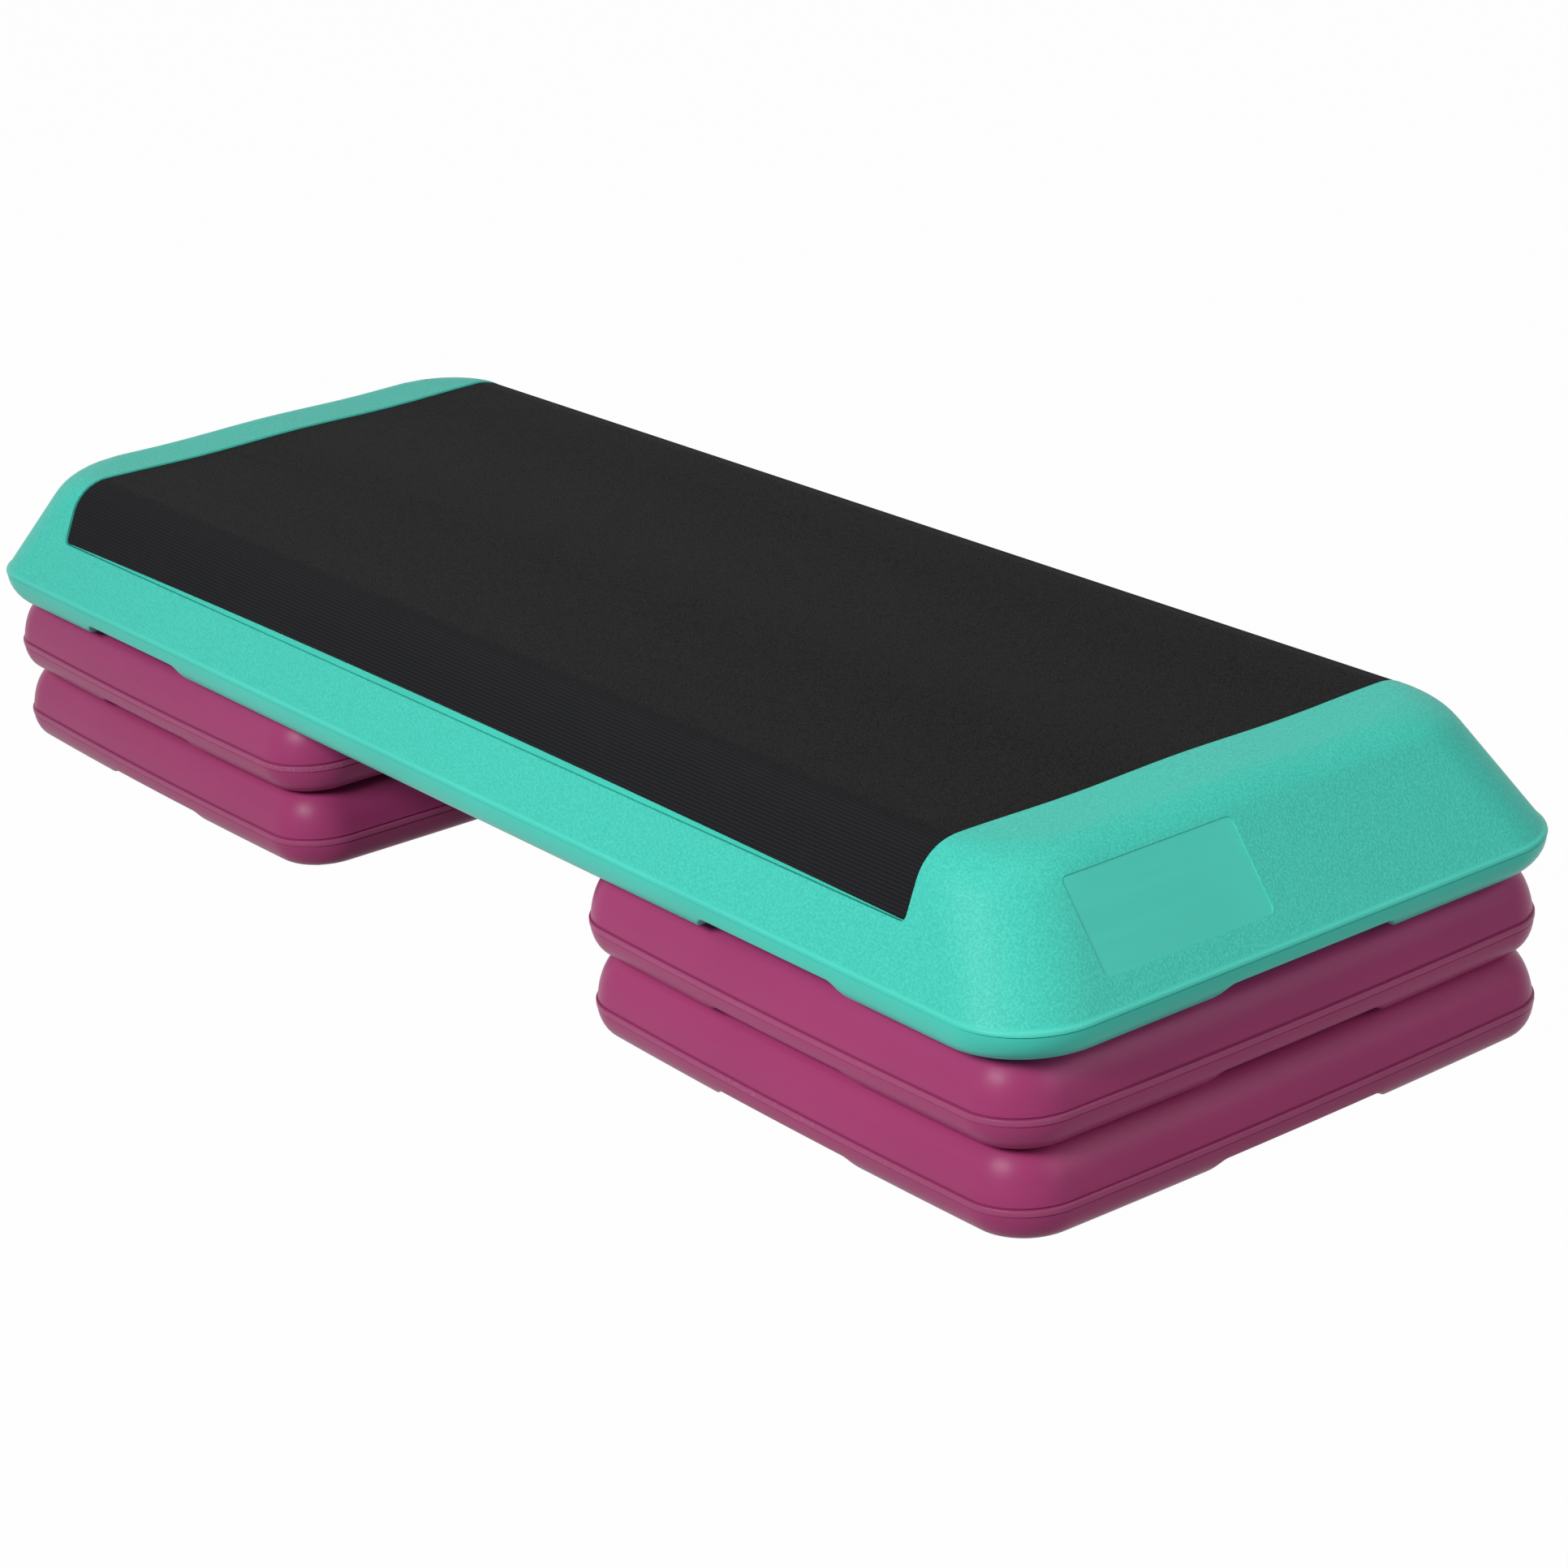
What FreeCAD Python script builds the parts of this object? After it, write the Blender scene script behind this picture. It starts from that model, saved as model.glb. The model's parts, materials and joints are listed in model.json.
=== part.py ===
import FreeCAD
import Part
import math
import os

V = FreeCAD.Vector
UP = V(0, 0, 1)

# Platform shell
DECK_LENGTH = 1100.0
DECK_WIDTH = 400.0
DECK_CORNER = 49.0
DECK_HEIGHT = 92.0
DECK_END_RUN = 51.0
DECK_SIDE_RUN = 32.0
DECK_EDGE_ROUND = 30.0
DECK_RIM_END_INSET = 16.0
DECK_RIM_SIDE_INSET = 9.5
DECK_RIM_WIDTH = 21.0
DECK_TRAY_DEPTH = 40.0
DECK_NOTCH_HEIGHT = 8.0
DECK_KISS_COLUMNS = 7
DECK_KISS_ROWS = 2

# Blank label panel on the right-hand end slope
LABEL_LENGTH = 114.0
LABEL_HEIGHT = 55.0
LABEL_CORNER = 4.0
LABEL_DEPTH = 0.8
LABEL_OFFSET = -75.0
LABEL_RISE = 58.0

# Tread mat, set in from each end of the platform
MAT_SET_IN = 103.5
MAT_LENGTH = DECK_LENGTH - 2 * MAT_SET_IN
MAT_THICKNESS = 3.0
MAT_DROP = 37.0
MAT_CORNER = 3.0
MAT_RECESS = 3.5
MAT_FIT = 0.2
MAT_EDGE_GAP = 1.0

# Riser, set in from the platform's sides and ends
RISER_SIDE_SET_IN = 2.0
RISER_END_SET_IN = 9.0
RISER_SIZE = DECK_WIDTH - 2 * RISER_SIDE_SET_IN
RISER_OFFSET = DECK_LENGTH / 2 - RISER_END_SET_IN - RISER_SIZE / 2
RISER_CORNER = 36.0
RISER_BOW = 3.5
RISER_PITCH = 50.0
RISER_RIM_INSET = 9.0
RISER_RIM_WIDTH = 19.0
RISER_SHOULDER_RUN = 15.0
RISER_TRAY_DEPTH = 30.0
RISER_NOTCH_HEIGHT = 6.0
RISER_KISS_COUNT = 2

# Locating key on each side of a riser's top, and the rim notch it enters
KEY_LENGTH = 94.0
KEY_WIDTH = 10.0
KEY_HEIGHT = 5.0
NOTCH_PLAY = 7.0
NOTCH_RAMP = 14.0

# Mouldings in general
WALL = 3.0
GIRTH_HEIGHT = 20.0
TRAY_DRAFT = 4.0
TRAY_CORNER = 8.0
KISS_MOUTH = 32.0
KISS_TIP = 20.0
VENT_BORE = 8.0

# Rubber feet
FOOT_DIAMETER = 12.0
FOOT_PROUD = 2.0
FOOT_SEAT = 3.0
FOOT_FIT = 0.2
FOOT_INSET = 10.0

BAND_STEPS = 6
EDGE_STEPS = 9
SHOULDER_STEPS = 8
OVERCUT = 10.0


def line(a, b):
    return Part.LineSegment(a, b).toShape()


def arc(a, middle, b):
    return Part.Arc(a, middle, b).toShape()


def outline(length, width, corner, bow, z):
    """Closed plan curve: four sides bowed out by bow, or straight at 0, with round corners."""
    if bow > 0:
        end_radius = (width / 2) ** 2 / (2 * bow) + bow / 2
        side_radius = (length / 2) ** 2 / (2 * bow) + bow / 2
        end_centre = V(length / 2 - end_radius, 0, 0)
        side_centre = V(0, width / 2 - side_radius, 0)
        reach_end = end_radius - corner
        reach_side = side_radius - corner
        axis = side_centre - end_centre
        span = axis.Length
        along = (reach_end ** 2 - reach_side ** 2 + span ** 2) / (2 * span)
        across = math.sqrt(reach_end ** 2 - along ** 2)
        axis.normalize()
        centre = end_centre + axis * along + UP.cross(axis) * across
        to_end = (centre - end_centre).normalize()
        to_side = (centre - side_centre).normalize()
    else:
        centre = V(length / 2 - corner, width / 2 - corner, 0)
        to_end = V(1, 0, 0)
        to_side = V(0, 1, 0)
    end_point = centre + to_end * corner
    side_point = centre + to_side * corner
    corner_point = centre + (to_end + to_side).normalize() * corner

    def place(p, sx, sy):
        return V(p.x * sx, p.y * sy, z)

    edges = []
    for sx, sy in ((1, 1), (-1, 1), (-1, -1), (1, -1)):
        first, last = (end_point, side_point) if sx * sy > 0 else (side_point, end_point)
        edges.append(arc(place(first, sx, sy), place(corner_point, sx, sy), place(last, sx, sy)))
        nx, ny = -sy, sx
        if bow > 0:
            middle = V(0, sy * width / 2, z) if sx * sy > 0 else V(sx * length / 2, 0, z)
            edges.append(arc(place(last, sx, sy), middle, place(last, nx, ny)))
        else:
            edges.append(line(place(last, sx, sy), place(last, nx, ny)))
    return Part.Wire(edges)


def stack(wires):
    """Solid through level outlines, straight from each to the next."""
    return Part.makeLoft(wires, True, True)


def band_levels(rim_inset):
    """Level and inset pairs up the round band, a quarter ellipse from the rim's flat to below the girth."""
    levels = []
    for step in range(BAND_STEPS):
        turn = math.pi / 2 * step / BAND_STEPS
        z = GIRTH_HEIGHT - (GIRTH_HEIGHT - FOOT_PROUD) * math.cos(turn)
        levels.append((z, rim_inset * (1 - math.sin(turn))))
    return levels


def void_levels(rim_inset):
    """Level and inset pairs of the hollow behind the round band, one wall further in."""
    lowest = FOOT_PROUD + WALL
    inner = [(z, inset + WALL) for z, inset in band_levels(rim_inset) if z > lowest + WALL]
    return [(lowest, rim_inset + WALL)] + inner


def shoulder_inset(z):
    """Inset of a riser's side above its girth, a quarter ellipse up to the top land."""
    rise = (z - GIRTH_HEIGHT) / (RISER_PITCH - GIRTH_HEIGHT)
    return RISER_SHOULDER_RUN * (1 - math.sqrt(max(0.0, 1 - rise ** 2)))


def riser_outline(inset, z):
    size = RISER_SIZE - 2 * inset
    return outline(size, size, RISER_CORNER - inset, RISER_BOW, z)


def slope_inset(run, z):
    """Inset of a platform slope above the girth: a straight slope that rounds over to the flat top."""
    height = DECK_HEIGHT - GIRTH_HEIGHT
    lean = math.pi / 2 - math.atan2(run, height)
    drop = DECK_HEIGHT - z
    if drop > DECK_EDGE_ROUND * (1 - math.cos(lean)):
        return run * (z - GIRTH_HEIGHT) / height
    swing = math.acos(1 - drop / DECK_EDGE_ROUND)
    return run + DECK_EDGE_ROUND * (math.tan(lean / 2) - math.sin(swing))


def deck_outline(end_inset, side_inset, z):
    return outline(DECK_LENGTH - 2 * end_inset, DECK_WIDTH - 2 * side_inset, DECK_CORNER, 0, z)


def notch_cut(height, grow):
    """Notch profile swept along Y: a flat roof with ramps at both ends, grown all round by grow."""
    roof = KEY_LENGTH / 2 + NOTCH_PLAY + grow
    foot = roof + NOTCH_RAMP
    top = FOOT_PROUD + height + grow
    quarter = NOTCH_RAMP / 4
    low = FOOT_PROUD + (top - FOOT_PROUD) / 2
    ramp_in = V(roof + NOTCH_RAMP / 2, 0, low)
    ramp_out = V(-roof - NOTCH_RAMP / 2, 0, low)
    bend_top = V(roof + quarter, 0, top - (top - low) / 4)
    bend_low = V(foot - quarter, 0, FOOT_PROUD + (low - FOOT_PROUD) / 4)
    below = -OVERCUT
    edges = [
        line(V(-foot, 0, below), V(-foot, 0, FOOT_PROUD)),
        arc(V(-foot, 0, FOOT_PROUD), V(-bend_low.x, 0, bend_low.z), ramp_out),
        arc(ramp_out, V(-bend_top.x, 0, bend_top.z), V(-roof, 0, top)),
        line(V(-roof, 0, top), V(roof, 0, top)),
        arc(V(roof, 0, top), bend_top, ramp_in),
        arc(ramp_in, bend_low, V(foot, 0, FOOT_PROUD)),
        line(V(foot, 0, FOOT_PROUD), V(foot, 0, below)),
        line(V(foot, 0, below), V(-foot, 0, below)),
    ]
    depth = RISER_RIM_INSET + RISER_RIM_WIDTH + DECK_RIM_END_INSET + DECK_RIM_WIDTH
    notch = Part.Face(Part.Wire(edges)).extrude(V(0, depth, 0))
    notch.translate(V(0, -OVERCUT, 0))
    return notch


def placed(shape, x, y, z, turn):
    copy = shape.copy()
    copy.rotate(V(0, 0, 0), UP, turn)
    copy.translate(V(x, y, z))
    return copy


def foot_seat(x, y, grow):
    radius = FOOT_DIAMETER / 2 + FOOT_FIT + grow
    return Part.makeCylinder(radius, FOOT_PROUD + FOOT_SEAT + grow, V(x, y, 0))


def foot(x, y):
    return Part.makeCylinder(FOOT_DIAMETER / 2, FOOT_PROUD + FOOT_SEAT, V(x, y, 0))


def kiss_pocket(x, y, bottom, top, grow):
    """Tapered pocket from the tray up to the upper skin, where the two skins weld together."""
    return Part.makeCone(KISS_MOUTH / 2 + grow, KISS_TIP / 2 + grow, top - bottom, V(x, y, bottom))


def grid(columns, rows, length, width):
    """Points in the middle of even cells of a rectangle."""
    return [
        (length * ((i + 0.5) / columns - 0.5), width * ((j + 0.5) / rows - 0.5))
        for i in range(columns)
        for j in range(rows)
    ]


def riser_foot_places():
    half = RISER_SIZE / 2 - RISER_RIM_INSET - FOOT_INSET
    corner = half - (RISER_CORNER - RISER_RIM_INSET - FOOT_INSET) * (1 - math.sqrt(0.5)) - RISER_BOW
    return [(sx * corner, sy * corner) for sx in (-1, 1) for sy in (-1, 1)]


def deck_foot_places():
    """Platform feet about one riser centre: two by the end of the rim and two further in."""
    end = DECK_LENGTH / 2 - DECK_RIM_END_INSET - FOOT_INSET
    side = DECK_WIDTH / 2 - DECK_RIM_SIDE_INSET - FOOT_INSET
    reach = DECK_CORNER - FOOT_INSET
    inner = 2 * RISER_OFFSET - end + reach
    return [
        (x, sy * y)
        for x, y in ((end - reach * (1 - math.sqrt(0.5)), side - reach * (1 - math.sqrt(0.5))), (inner, side))
        for sy in (-1, 1)
    ]


def riser_key():
    """Round-ended bar along a side of the riser's top, just inside the shoulder."""
    bar = Part.Face(outline(KEY_LENGTH, KEY_WIDTH, KEY_WIDTH / 2 - OVERCUT / 100, 0, RISER_PITCH))
    solid = bar.extrude(V(0, 0, KEY_HEIGHT))
    solid.translate(V(0, -RISER_SIZE / 2 + RISER_SHOULDER_RUN + KEY_WIDTH / 2, 0))
    return solid


def riser():
    """Hollow square moulding: rim, girth, round shoulder, flat top with four keys, open tray beneath."""
    levels = band_levels(RISER_RIM_INSET)
    for step in range(SHOULDER_STEPS + 1):
        z = GIRTH_HEIGHT + (RISER_PITCH - GIRTH_HEIGHT) * math.sin(math.pi / 2 * step / SHOULDER_STEPS)
        levels.append((z, shoulder_inset(z)))
    body = stack([riser_outline(inset, z) for z, inset in levels])

    mouth = RISER_SIZE - 2 * (RISER_RIM_INSET + RISER_RIM_WIDTH)
    roof = RISER_TRAY_DEPTH

    def tray(grow):
        size = mouth + 2 * grow
        corner = TRAY_CORNER + grow
        top = size - 2 * TRAY_DRAFT
        low = outline(size, size, corner, RISER_BOW, 0)
        return stack([low, outline(top, top, corner, RISER_BOW, roof + grow)])

    kisses = grid(RISER_KISS_COUNT, RISER_KISS_COUNT, mouth, mouth)
    tip = RISER_PITCH - WALL
    inner_levels = void_levels(RISER_RIM_INSET) + [(GIRTH_HEIGHT, WALL)]
    for step in range(1, SHOULDER_STEPS):
        z = GIRTH_HEIGHT + (tip - GIRTH_HEIGHT) * step / (SHOULDER_STEPS - 1)
        inner_levels.append((z, shoulder_inset(z) + WALL))
    void = stack([riser_outline(inset, z) for z, inset in inner_levels])
    sides = [(0, -1, 0), (1, 0, 90), (0, 1, 180), (-1, 0, 270)]
    half = RISER_SIZE / 2

    def notches(grow):
        cut = notch_cut(RISER_NOTCH_HEIGHT, grow)
        return [placed(cut, half * sx, half * sy, 0, turn) for sx, sy, turn in sides]

    void = void.cut(
        [tray(WALL)]
        + [kiss_pocket(x, y, roof, tip, WALL) for x, y in kisses]
        + [foot_seat(x, y, WALL) for x, y in riser_foot_places()]
        + notches(WALL)
    )
    body = body.fuse([placed(riser_key(), 0, 0, 0, turn) for _, _, turn in sides])
    vent = Part.makeCylinder(VENT_BORE / 2, roof + 2 * WALL)
    return body.cut(
        [tray(0), void, vent]
        + [kiss_pocket(x, y, roof - TRAY_DRAFT, tip, 0) for x, y in kisses]
        + [foot_seat(x, y, 0) for x, y in riser_foot_places()]
        + notches(0)
    ).removeSplitter().Solids[0]


def mat_section(depth_out, depth_in, edge):
    """Band across the platform between two depths under its surface, down both slopes by edge."""
    height = DECK_HEIGHT - GIRTH_HEIGHT
    lean = math.pi / 2 - math.atan2(DECK_SIDE_RUN, height)
    flat = DECK_WIDTH / 2 - DECK_SIDE_RUN - DECK_EDGE_ROUND * math.tan(lean / 2)
    centre = V(0, flat, DECK_HEIGHT - DECK_EDGE_ROUND)
    down = V(0, math.cos(lean), -math.sin(lean))

    def at(turn, depth):
        return centre + V(0, math.sin(turn), math.cos(turn)) * (DECK_EDGE_ROUND - depth)

    tail = (centre.z + DECK_EDGE_ROUND * math.cos(lean) - (DECK_HEIGHT - edge)) / math.sin(lean)

    def mirrored(p):
        return V(p.x, -p.y, p.z)

    def half(depth):
        return at(0, depth), at(lean / 2, depth), at(lean, depth), at(lean, depth) + down * tail

    out_flat, out_mid, out_bend, out_edge = half(depth_out)
    in_flat, in_mid, in_bend, in_edge = half(depth_in)
    edges = [
        line(mirrored(out_flat), out_flat),
        arc(out_flat, out_mid, out_bend),
        line(out_bend, out_edge),
        line(out_edge, in_edge),
        line(in_edge, in_bend),
        arc(in_bend, in_mid, in_flat),
        line(in_flat, mirrored(in_flat)),
        arc(mirrored(in_flat), mirrored(in_mid), mirrored(in_bend)),
        line(mirrored(in_bend), mirrored(in_edge)),
        line(mirrored(in_edge), mirrored(out_edge)),
        line(mirrored(out_edge), mirrored(out_bend)),
        arc(mirrored(out_bend), mirrored(out_mid), mirrored(out_flat)),
    ]
    return Part.Face(Part.Wire(edges))


def mat_band(depth_out, depth_in, edge, length, corner):
    """Bent sheet of that section with rounded lower corners."""
    face = mat_section(depth_out, depth_in, edge)
    face.translate(V(-length / 2, 0, 0))
    sheet = face.extrude(V(length, 0, 0))
    lowest = sheet.BoundBox.ZMin + abs(depth_in - depth_out)
    corners = [
        e
        for e in sheet.Edges
        if max(v.Z for v in e.Vertexes) <= lowest and abs(e.Vertexes[0].X - e.Vertexes[-1].X) < MAT_FIT
    ]
    return sheet.makeFillet(corner, corners).Solids[0]


def tread_mat():
    return mat_band(MAT_RECESS - MAT_FIT - MAT_THICKNESS, MAT_RECESS - MAT_FIT, MAT_DROP, MAT_LENGTH, MAT_CORNER)


def mat_recess():
    length = MAT_LENGTH + 2 * MAT_EDGE_GAP
    corner = MAT_CORNER + MAT_EDGE_GAP
    return mat_band(-MAT_RECESS, MAT_RECESS, MAT_DROP + MAT_EDGE_GAP, length, corner)


def label_recess():
    """Shallow blank panel let into the right-hand end slope."""
    height = DECK_HEIGHT - GIRTH_HEIGHT
    along = V(0, 1, 0)
    up_slope = V(-DECK_END_RUN, 0, height).normalize()
    normal = along.cross(up_slope)
    panel = Part.Face(outline(LABEL_LENGTH, LABEL_HEIGHT, LABEL_CORNER, 0, -LABEL_DEPTH))
    panel = panel.extrude(V(0, 0, 2 * LABEL_DEPTH))
    x = DECK_LENGTH / 2 - DECK_END_RUN * (LABEL_RISE - GIRTH_HEIGHT) / height
    turn = FreeCAD.Rotation(along, up_slope, normal, "ZXY")
    panel.Placement = FreeCAD.Placement(V(x, LABEL_OFFSET, LABEL_RISE), turn)
    return panel


def deck_shell():
    """Hollow platform moulding: rim, girth, four slopes, flat top with the mat recess, tray beneath."""

    def both(section):
        """Platform outlines at the levels of a section, taken with the end's inset and the side's."""
        pairs = zip(section(DECK_RIM_END_INSET), section(DECK_RIM_SIDE_INSET))
        return [deck_outline(end[1], side[1], end[0]) for end, side in pairs]

    wires = both(band_levels) + [deck_outline(0, 0, GIRTH_HEIGHT)]
    steepest = math.pi / 2 - math.atan2(DECK_SIDE_RUN, DECK_HEIGHT - GIRTH_HEIGHT)
    edge_levels = [
        DECK_HEIGHT - DECK_EDGE_ROUND * (1 - math.cos(steepest * (1 - step / EDGE_STEPS)))
        for step in range(EDGE_STEPS + 1)
    ]
    wires += [deck_outline(slope_inset(DECK_END_RUN, z), slope_inset(DECK_SIDE_RUN, z), z) for z in edge_levels]
    body = stack(wires)

    skin = WALL + MAT_RECESS
    ceiling = DECK_HEIGHT - skin

    def inner(z):
        return deck_outline(slope_inset(DECK_END_RUN, z) + skin, slope_inset(DECK_SIDE_RUN, z) + skin, z)

    inner_levels = [z for z in edge_levels if z < ceiling] + [ceiling]
    void = stack(both(void_levels) + [inner(GIRTH_HEIGHT)] + [inner(z) for z in inner_levels])

    def tray(grow):
        end = DECK_RIM_END_INSET + DECK_RIM_WIDTH - grow
        side = DECK_RIM_SIDE_INSET + DECK_RIM_WIDTH - grow
        mouth = deck_outline(end, side, 0)
        return stack([mouth, deck_outline(end + TRAY_DRAFT, side + TRAY_DRAFT, DECK_TRAY_DEPTH + grow)])

    mouth_length = DECK_LENGTH - 2 * (DECK_RIM_END_INSET + DECK_RIM_WIDTH)
    mouth_width = DECK_WIDTH - 2 * (DECK_RIM_SIDE_INSET + DECK_RIM_WIDTH)
    kisses = grid(DECK_KISS_COLUMNS, DECK_KISS_ROWS, mouth_length, mouth_width)
    feet = [(turn * x, y) for turn in (-1, 1) for x, y in deck_foot_places()]
    half = DECK_WIDTH / 2

    def notches(grow):
        cut = notch_cut(DECK_NOTCH_HEIGHT, grow)
        sides = [placed(cut, sx * RISER_OFFSET, -half, 0, 0) for sx in (-1, 1)]
        sides += [placed(cut, sx * RISER_OFFSET, half, 0, 180) for sx in (-1, 1)]
        ends = [placed(cut, sx * DECK_LENGTH / 2, 0, 0, 90 * sx) for sx in (-1, 1)]
        return sides + ends

    void = void.cut(
        [tray(WALL)]
        + [kiss_pocket(x, y, DECK_TRAY_DEPTH, ceiling, WALL) for x, y in kisses]
        + [foot_seat(x, y, WALL) for x, y in feet]
        + notches(WALL)
    )
    vent = Part.makeCylinder(VENT_BORE / 2, DECK_TRAY_DEPTH + 2 * WALL)
    return body.cut(
        [tray(0), void, vent, mat_recess(), label_recess()]
        + [kiss_pocket(x, y, DECK_TRAY_DEPTH - TRAY_DRAFT, ceiling, 0) for x, y in kisses]
        + [foot_seat(x, y, 0) for x, y in feet]
        + notches(0)
    ).removeSplitter().Solids[0]


def write(name, shape, x, z):
    piece = shape.copy()
    piece.translate(V(x, 0, z))
    piece.exportStep("parts/" + name + ".step")


def main():
    os.makedirs("parts", exist_ok=True)
    deck_level = 2 * RISER_PITCH
    write("deck_shell", deck_shell(), 0, deck_level)
    write("tread_mat", tread_mat(), 0, deck_level)
    moulding = riser()
    for side, x in (("left", -RISER_OFFSET), ("right", RISER_OFFSET)):
        for tier, z in (("lower", 0), ("upper", RISER_PITCH)):
            write("riser_" + tier + "_" + side, moulding, x, z)
            for number, (fx, fy) in enumerate(riser_foot_places(), 1):
                write("foot_%s_%s_%d" % (tier, side, number), foot(fx, fy), x, z)
        for number, (fx, fy) in enumerate(deck_foot_places(), 1):
            write("foot_deck_%s_%d" % (side, number), foot(math.copysign(fx, x), fy), 0, deck_level)


if __name__ == "__main__":
    main()
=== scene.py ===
"""Aerobic step platform: a turquoise deck with a ribbed tread mat on four stacking plum risers."""
import json
import math

import bpy
import numpy as np
from bpy.props import FloatProperty, FloatVectorProperty, PointerProperty
from mathutils import Matrix, Vector


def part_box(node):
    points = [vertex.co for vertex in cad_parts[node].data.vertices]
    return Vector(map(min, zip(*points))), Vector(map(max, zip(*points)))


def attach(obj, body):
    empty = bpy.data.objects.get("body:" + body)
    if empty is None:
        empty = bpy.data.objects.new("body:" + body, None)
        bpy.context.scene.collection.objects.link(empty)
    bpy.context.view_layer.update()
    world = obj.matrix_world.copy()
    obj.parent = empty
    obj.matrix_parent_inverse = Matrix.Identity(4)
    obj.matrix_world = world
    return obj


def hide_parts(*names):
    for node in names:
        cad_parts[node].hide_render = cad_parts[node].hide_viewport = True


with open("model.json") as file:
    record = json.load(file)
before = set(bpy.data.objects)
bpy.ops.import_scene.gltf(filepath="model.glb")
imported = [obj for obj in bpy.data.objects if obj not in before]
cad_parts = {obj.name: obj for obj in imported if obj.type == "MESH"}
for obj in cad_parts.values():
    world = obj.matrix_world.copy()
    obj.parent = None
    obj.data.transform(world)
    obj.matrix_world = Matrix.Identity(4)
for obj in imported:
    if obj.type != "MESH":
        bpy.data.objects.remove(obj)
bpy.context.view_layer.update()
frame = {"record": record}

bl_info = {
    "name": "Aerobic Step Platform",
    "version": (1, 0, 0),
    "blender": (4, 5, 0),
    "location": "3D View > Sidebar > Step",
    "description": "Builds the mouldings, tread mat and feet of an aerobic step round its packed solids",
    "category": "Mesh",
}

# All lengths in the tables below are millimetres; the meshes and the settings are in metres.
MM = 0.001

# Shared by every moulding
RIM_LEVEL = 2.0
GIRTH = 20.0
BAND_STEP = 0.35
INNER_ROUND = 2.5
TRAY_DRAFT = 4.0
TRAY_FILLET = 3.0
NOTCH_ROOF = 54.0
NOTCH_RAMP = 14.0
NOTCH_ROUND = 1.6
VENT = 4.0
VENT_DEEP = 3.0
VENT_MARKS = (0.0, 2.0, VENT - 0.2, VENT, VENT + 2.5)
POCKET_MOUTH = 16.0
POCKET_TIP = 10.0
POCKET_MARKS = (0.0, 6.0, 9.0, 10.0, 13.0, 15.5, 16.0, 17.5, 19.5)
CORNER_COLUMNS = 24
SHARP_ANGLE = math.radians(48)
# Rows of the band: share of the way from the rim to the groove, and the set-back and lift of a notch's cut
BAND_ROWS = ((0, 0.8, 0), (0.05, 0.25, 0.12), (0.11, 0.02, 0.05), (0.2, 0, 0), (0.3, 0, 0), (0.41, 0, 0),
             (0.53, 0, 0), (0.65, 0, 0), (0.77, 0, 0), (0.89, 0, 0), (1, 0, 0))
# Rows of the parting groove: height from its middle, and share of its depth
GROOVE_ROWS = ((-0.4, 0.0), (-0.22, 0.7), (-0.1, 1.0), (0.12, 1.0))
# The three parts of a plan's outline
SIDE, CORNER, END = 0, 1, 2

# Riser. A lip is a table of heights with the inset, or on the deck the share of the slope's inset, at each.
RISER_HALF = 198.0
RISER_CORNER = 36.0
RISER_BOW = 3.5
RISER_RIM = 12.0
RISER_RIM_WIDTH = 16.0
RISER_PARTING = 18.2
RISER_LIP = ((18.55, 0.12), (19.1, 0.0), (20.6, 0.0), (21.5, 0.04), (21.9, 0.22), (22.1, 0.6),
             (22.3, 1.5), (22.6, 1.6), (22.95, 1.05), (23.3, 0.97))
RISER_CREASE = 22.45
RISER_LIP_STEP = 0.9
RISER_LIP_FADE = 20.0
RISER_ROOF = 30.0
RISER_TOP = 50.0
RISER_SHOULDER = 18.0
RISER_FULLNESS = 1.6
RISER_TURNS = (10, 14, 20, 26, 32, 38, 44, 50, 56, 62, 68, 74, 79, 84, 87.5)
RISER_NOTCH = 6.0
RISER_POCKET = 85.0
RISER_SKIN = 3.0
RISER_FIXED = 150.0
RISER_LAND = 31.0
RISER_RAMP_COLUMNS = 9
RISER_PITCH = 11.0
KEY_INSET = 23.0
KEY_HALF_LENGTH = 47.0
KEY_HALF_WIDTH = 5.0
KEY_HEIGHT = 5.0
KEY_COLUMNS = (42.0, 44.0, 45.8, 46.4, 46.75, 47.0, 48.5)
KEY_ROWS = (-5.0, -4.75, -4.4, -3.8, -2.0, 0.0, 2.0, 3.8, 4.4, 4.75, 5.0, 6.4)
KEY_EDGE = ((0, 0.25, 0.6, 1.2), (0, 0.78, 0.94, 1.0))

# Deck
DECK_HALF_LENGTH = 550.0
DECK_HALF_WIDTH = 200.0
DECK_CORNER = 49.0
DECK_TOP = 92.0
DECK_END_RUN = 51.0
DECK_SIDE_RUN = 32.0
DECK_ROUND = 30.0
DECK_RIM_END = 16.0
DECK_RIM_SIDE = 9.5
DECK_RIM_WIDTH = 21.0
DECK_PARTING = 20.0
DECK_LIP = ((20.35, 0.35), (20.7, 0.3), (21.4, 0.4), (22.0, 0.45), (22.3, 0.58), (22.6, 0.82),
            (23.0, 1.0))
DECK_ROOF = 40.0
DECK_NOTCH = 8.0
DECK_CEILING = 85.5
DECK_NOTCH_AT = 343.0
DECK_POCKETS_X = (0.0, 146.571, 293.143, 439.714)
DECK_POCKETS_Y = 84.75
DECK_FIXED_X = 460.0
DECK_FIXED_Y = 134.5
DECK_RAMP_COLUMNS = 8
DECK_PITCH = (60.0, 12.0, 5.0)
DECK_TURNS = (60, 44, 38, 32, 26, 20, 14, 8, 4, 0)
DECK_SLOPE = DECK_TOP - GIRTH
SIDE_LEAN = math.atan2(DECK_SLOPE, DECK_SIDE_RUN)
END_LEAN = math.atan2(DECK_SLOPE, DECK_END_RUN)
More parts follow.
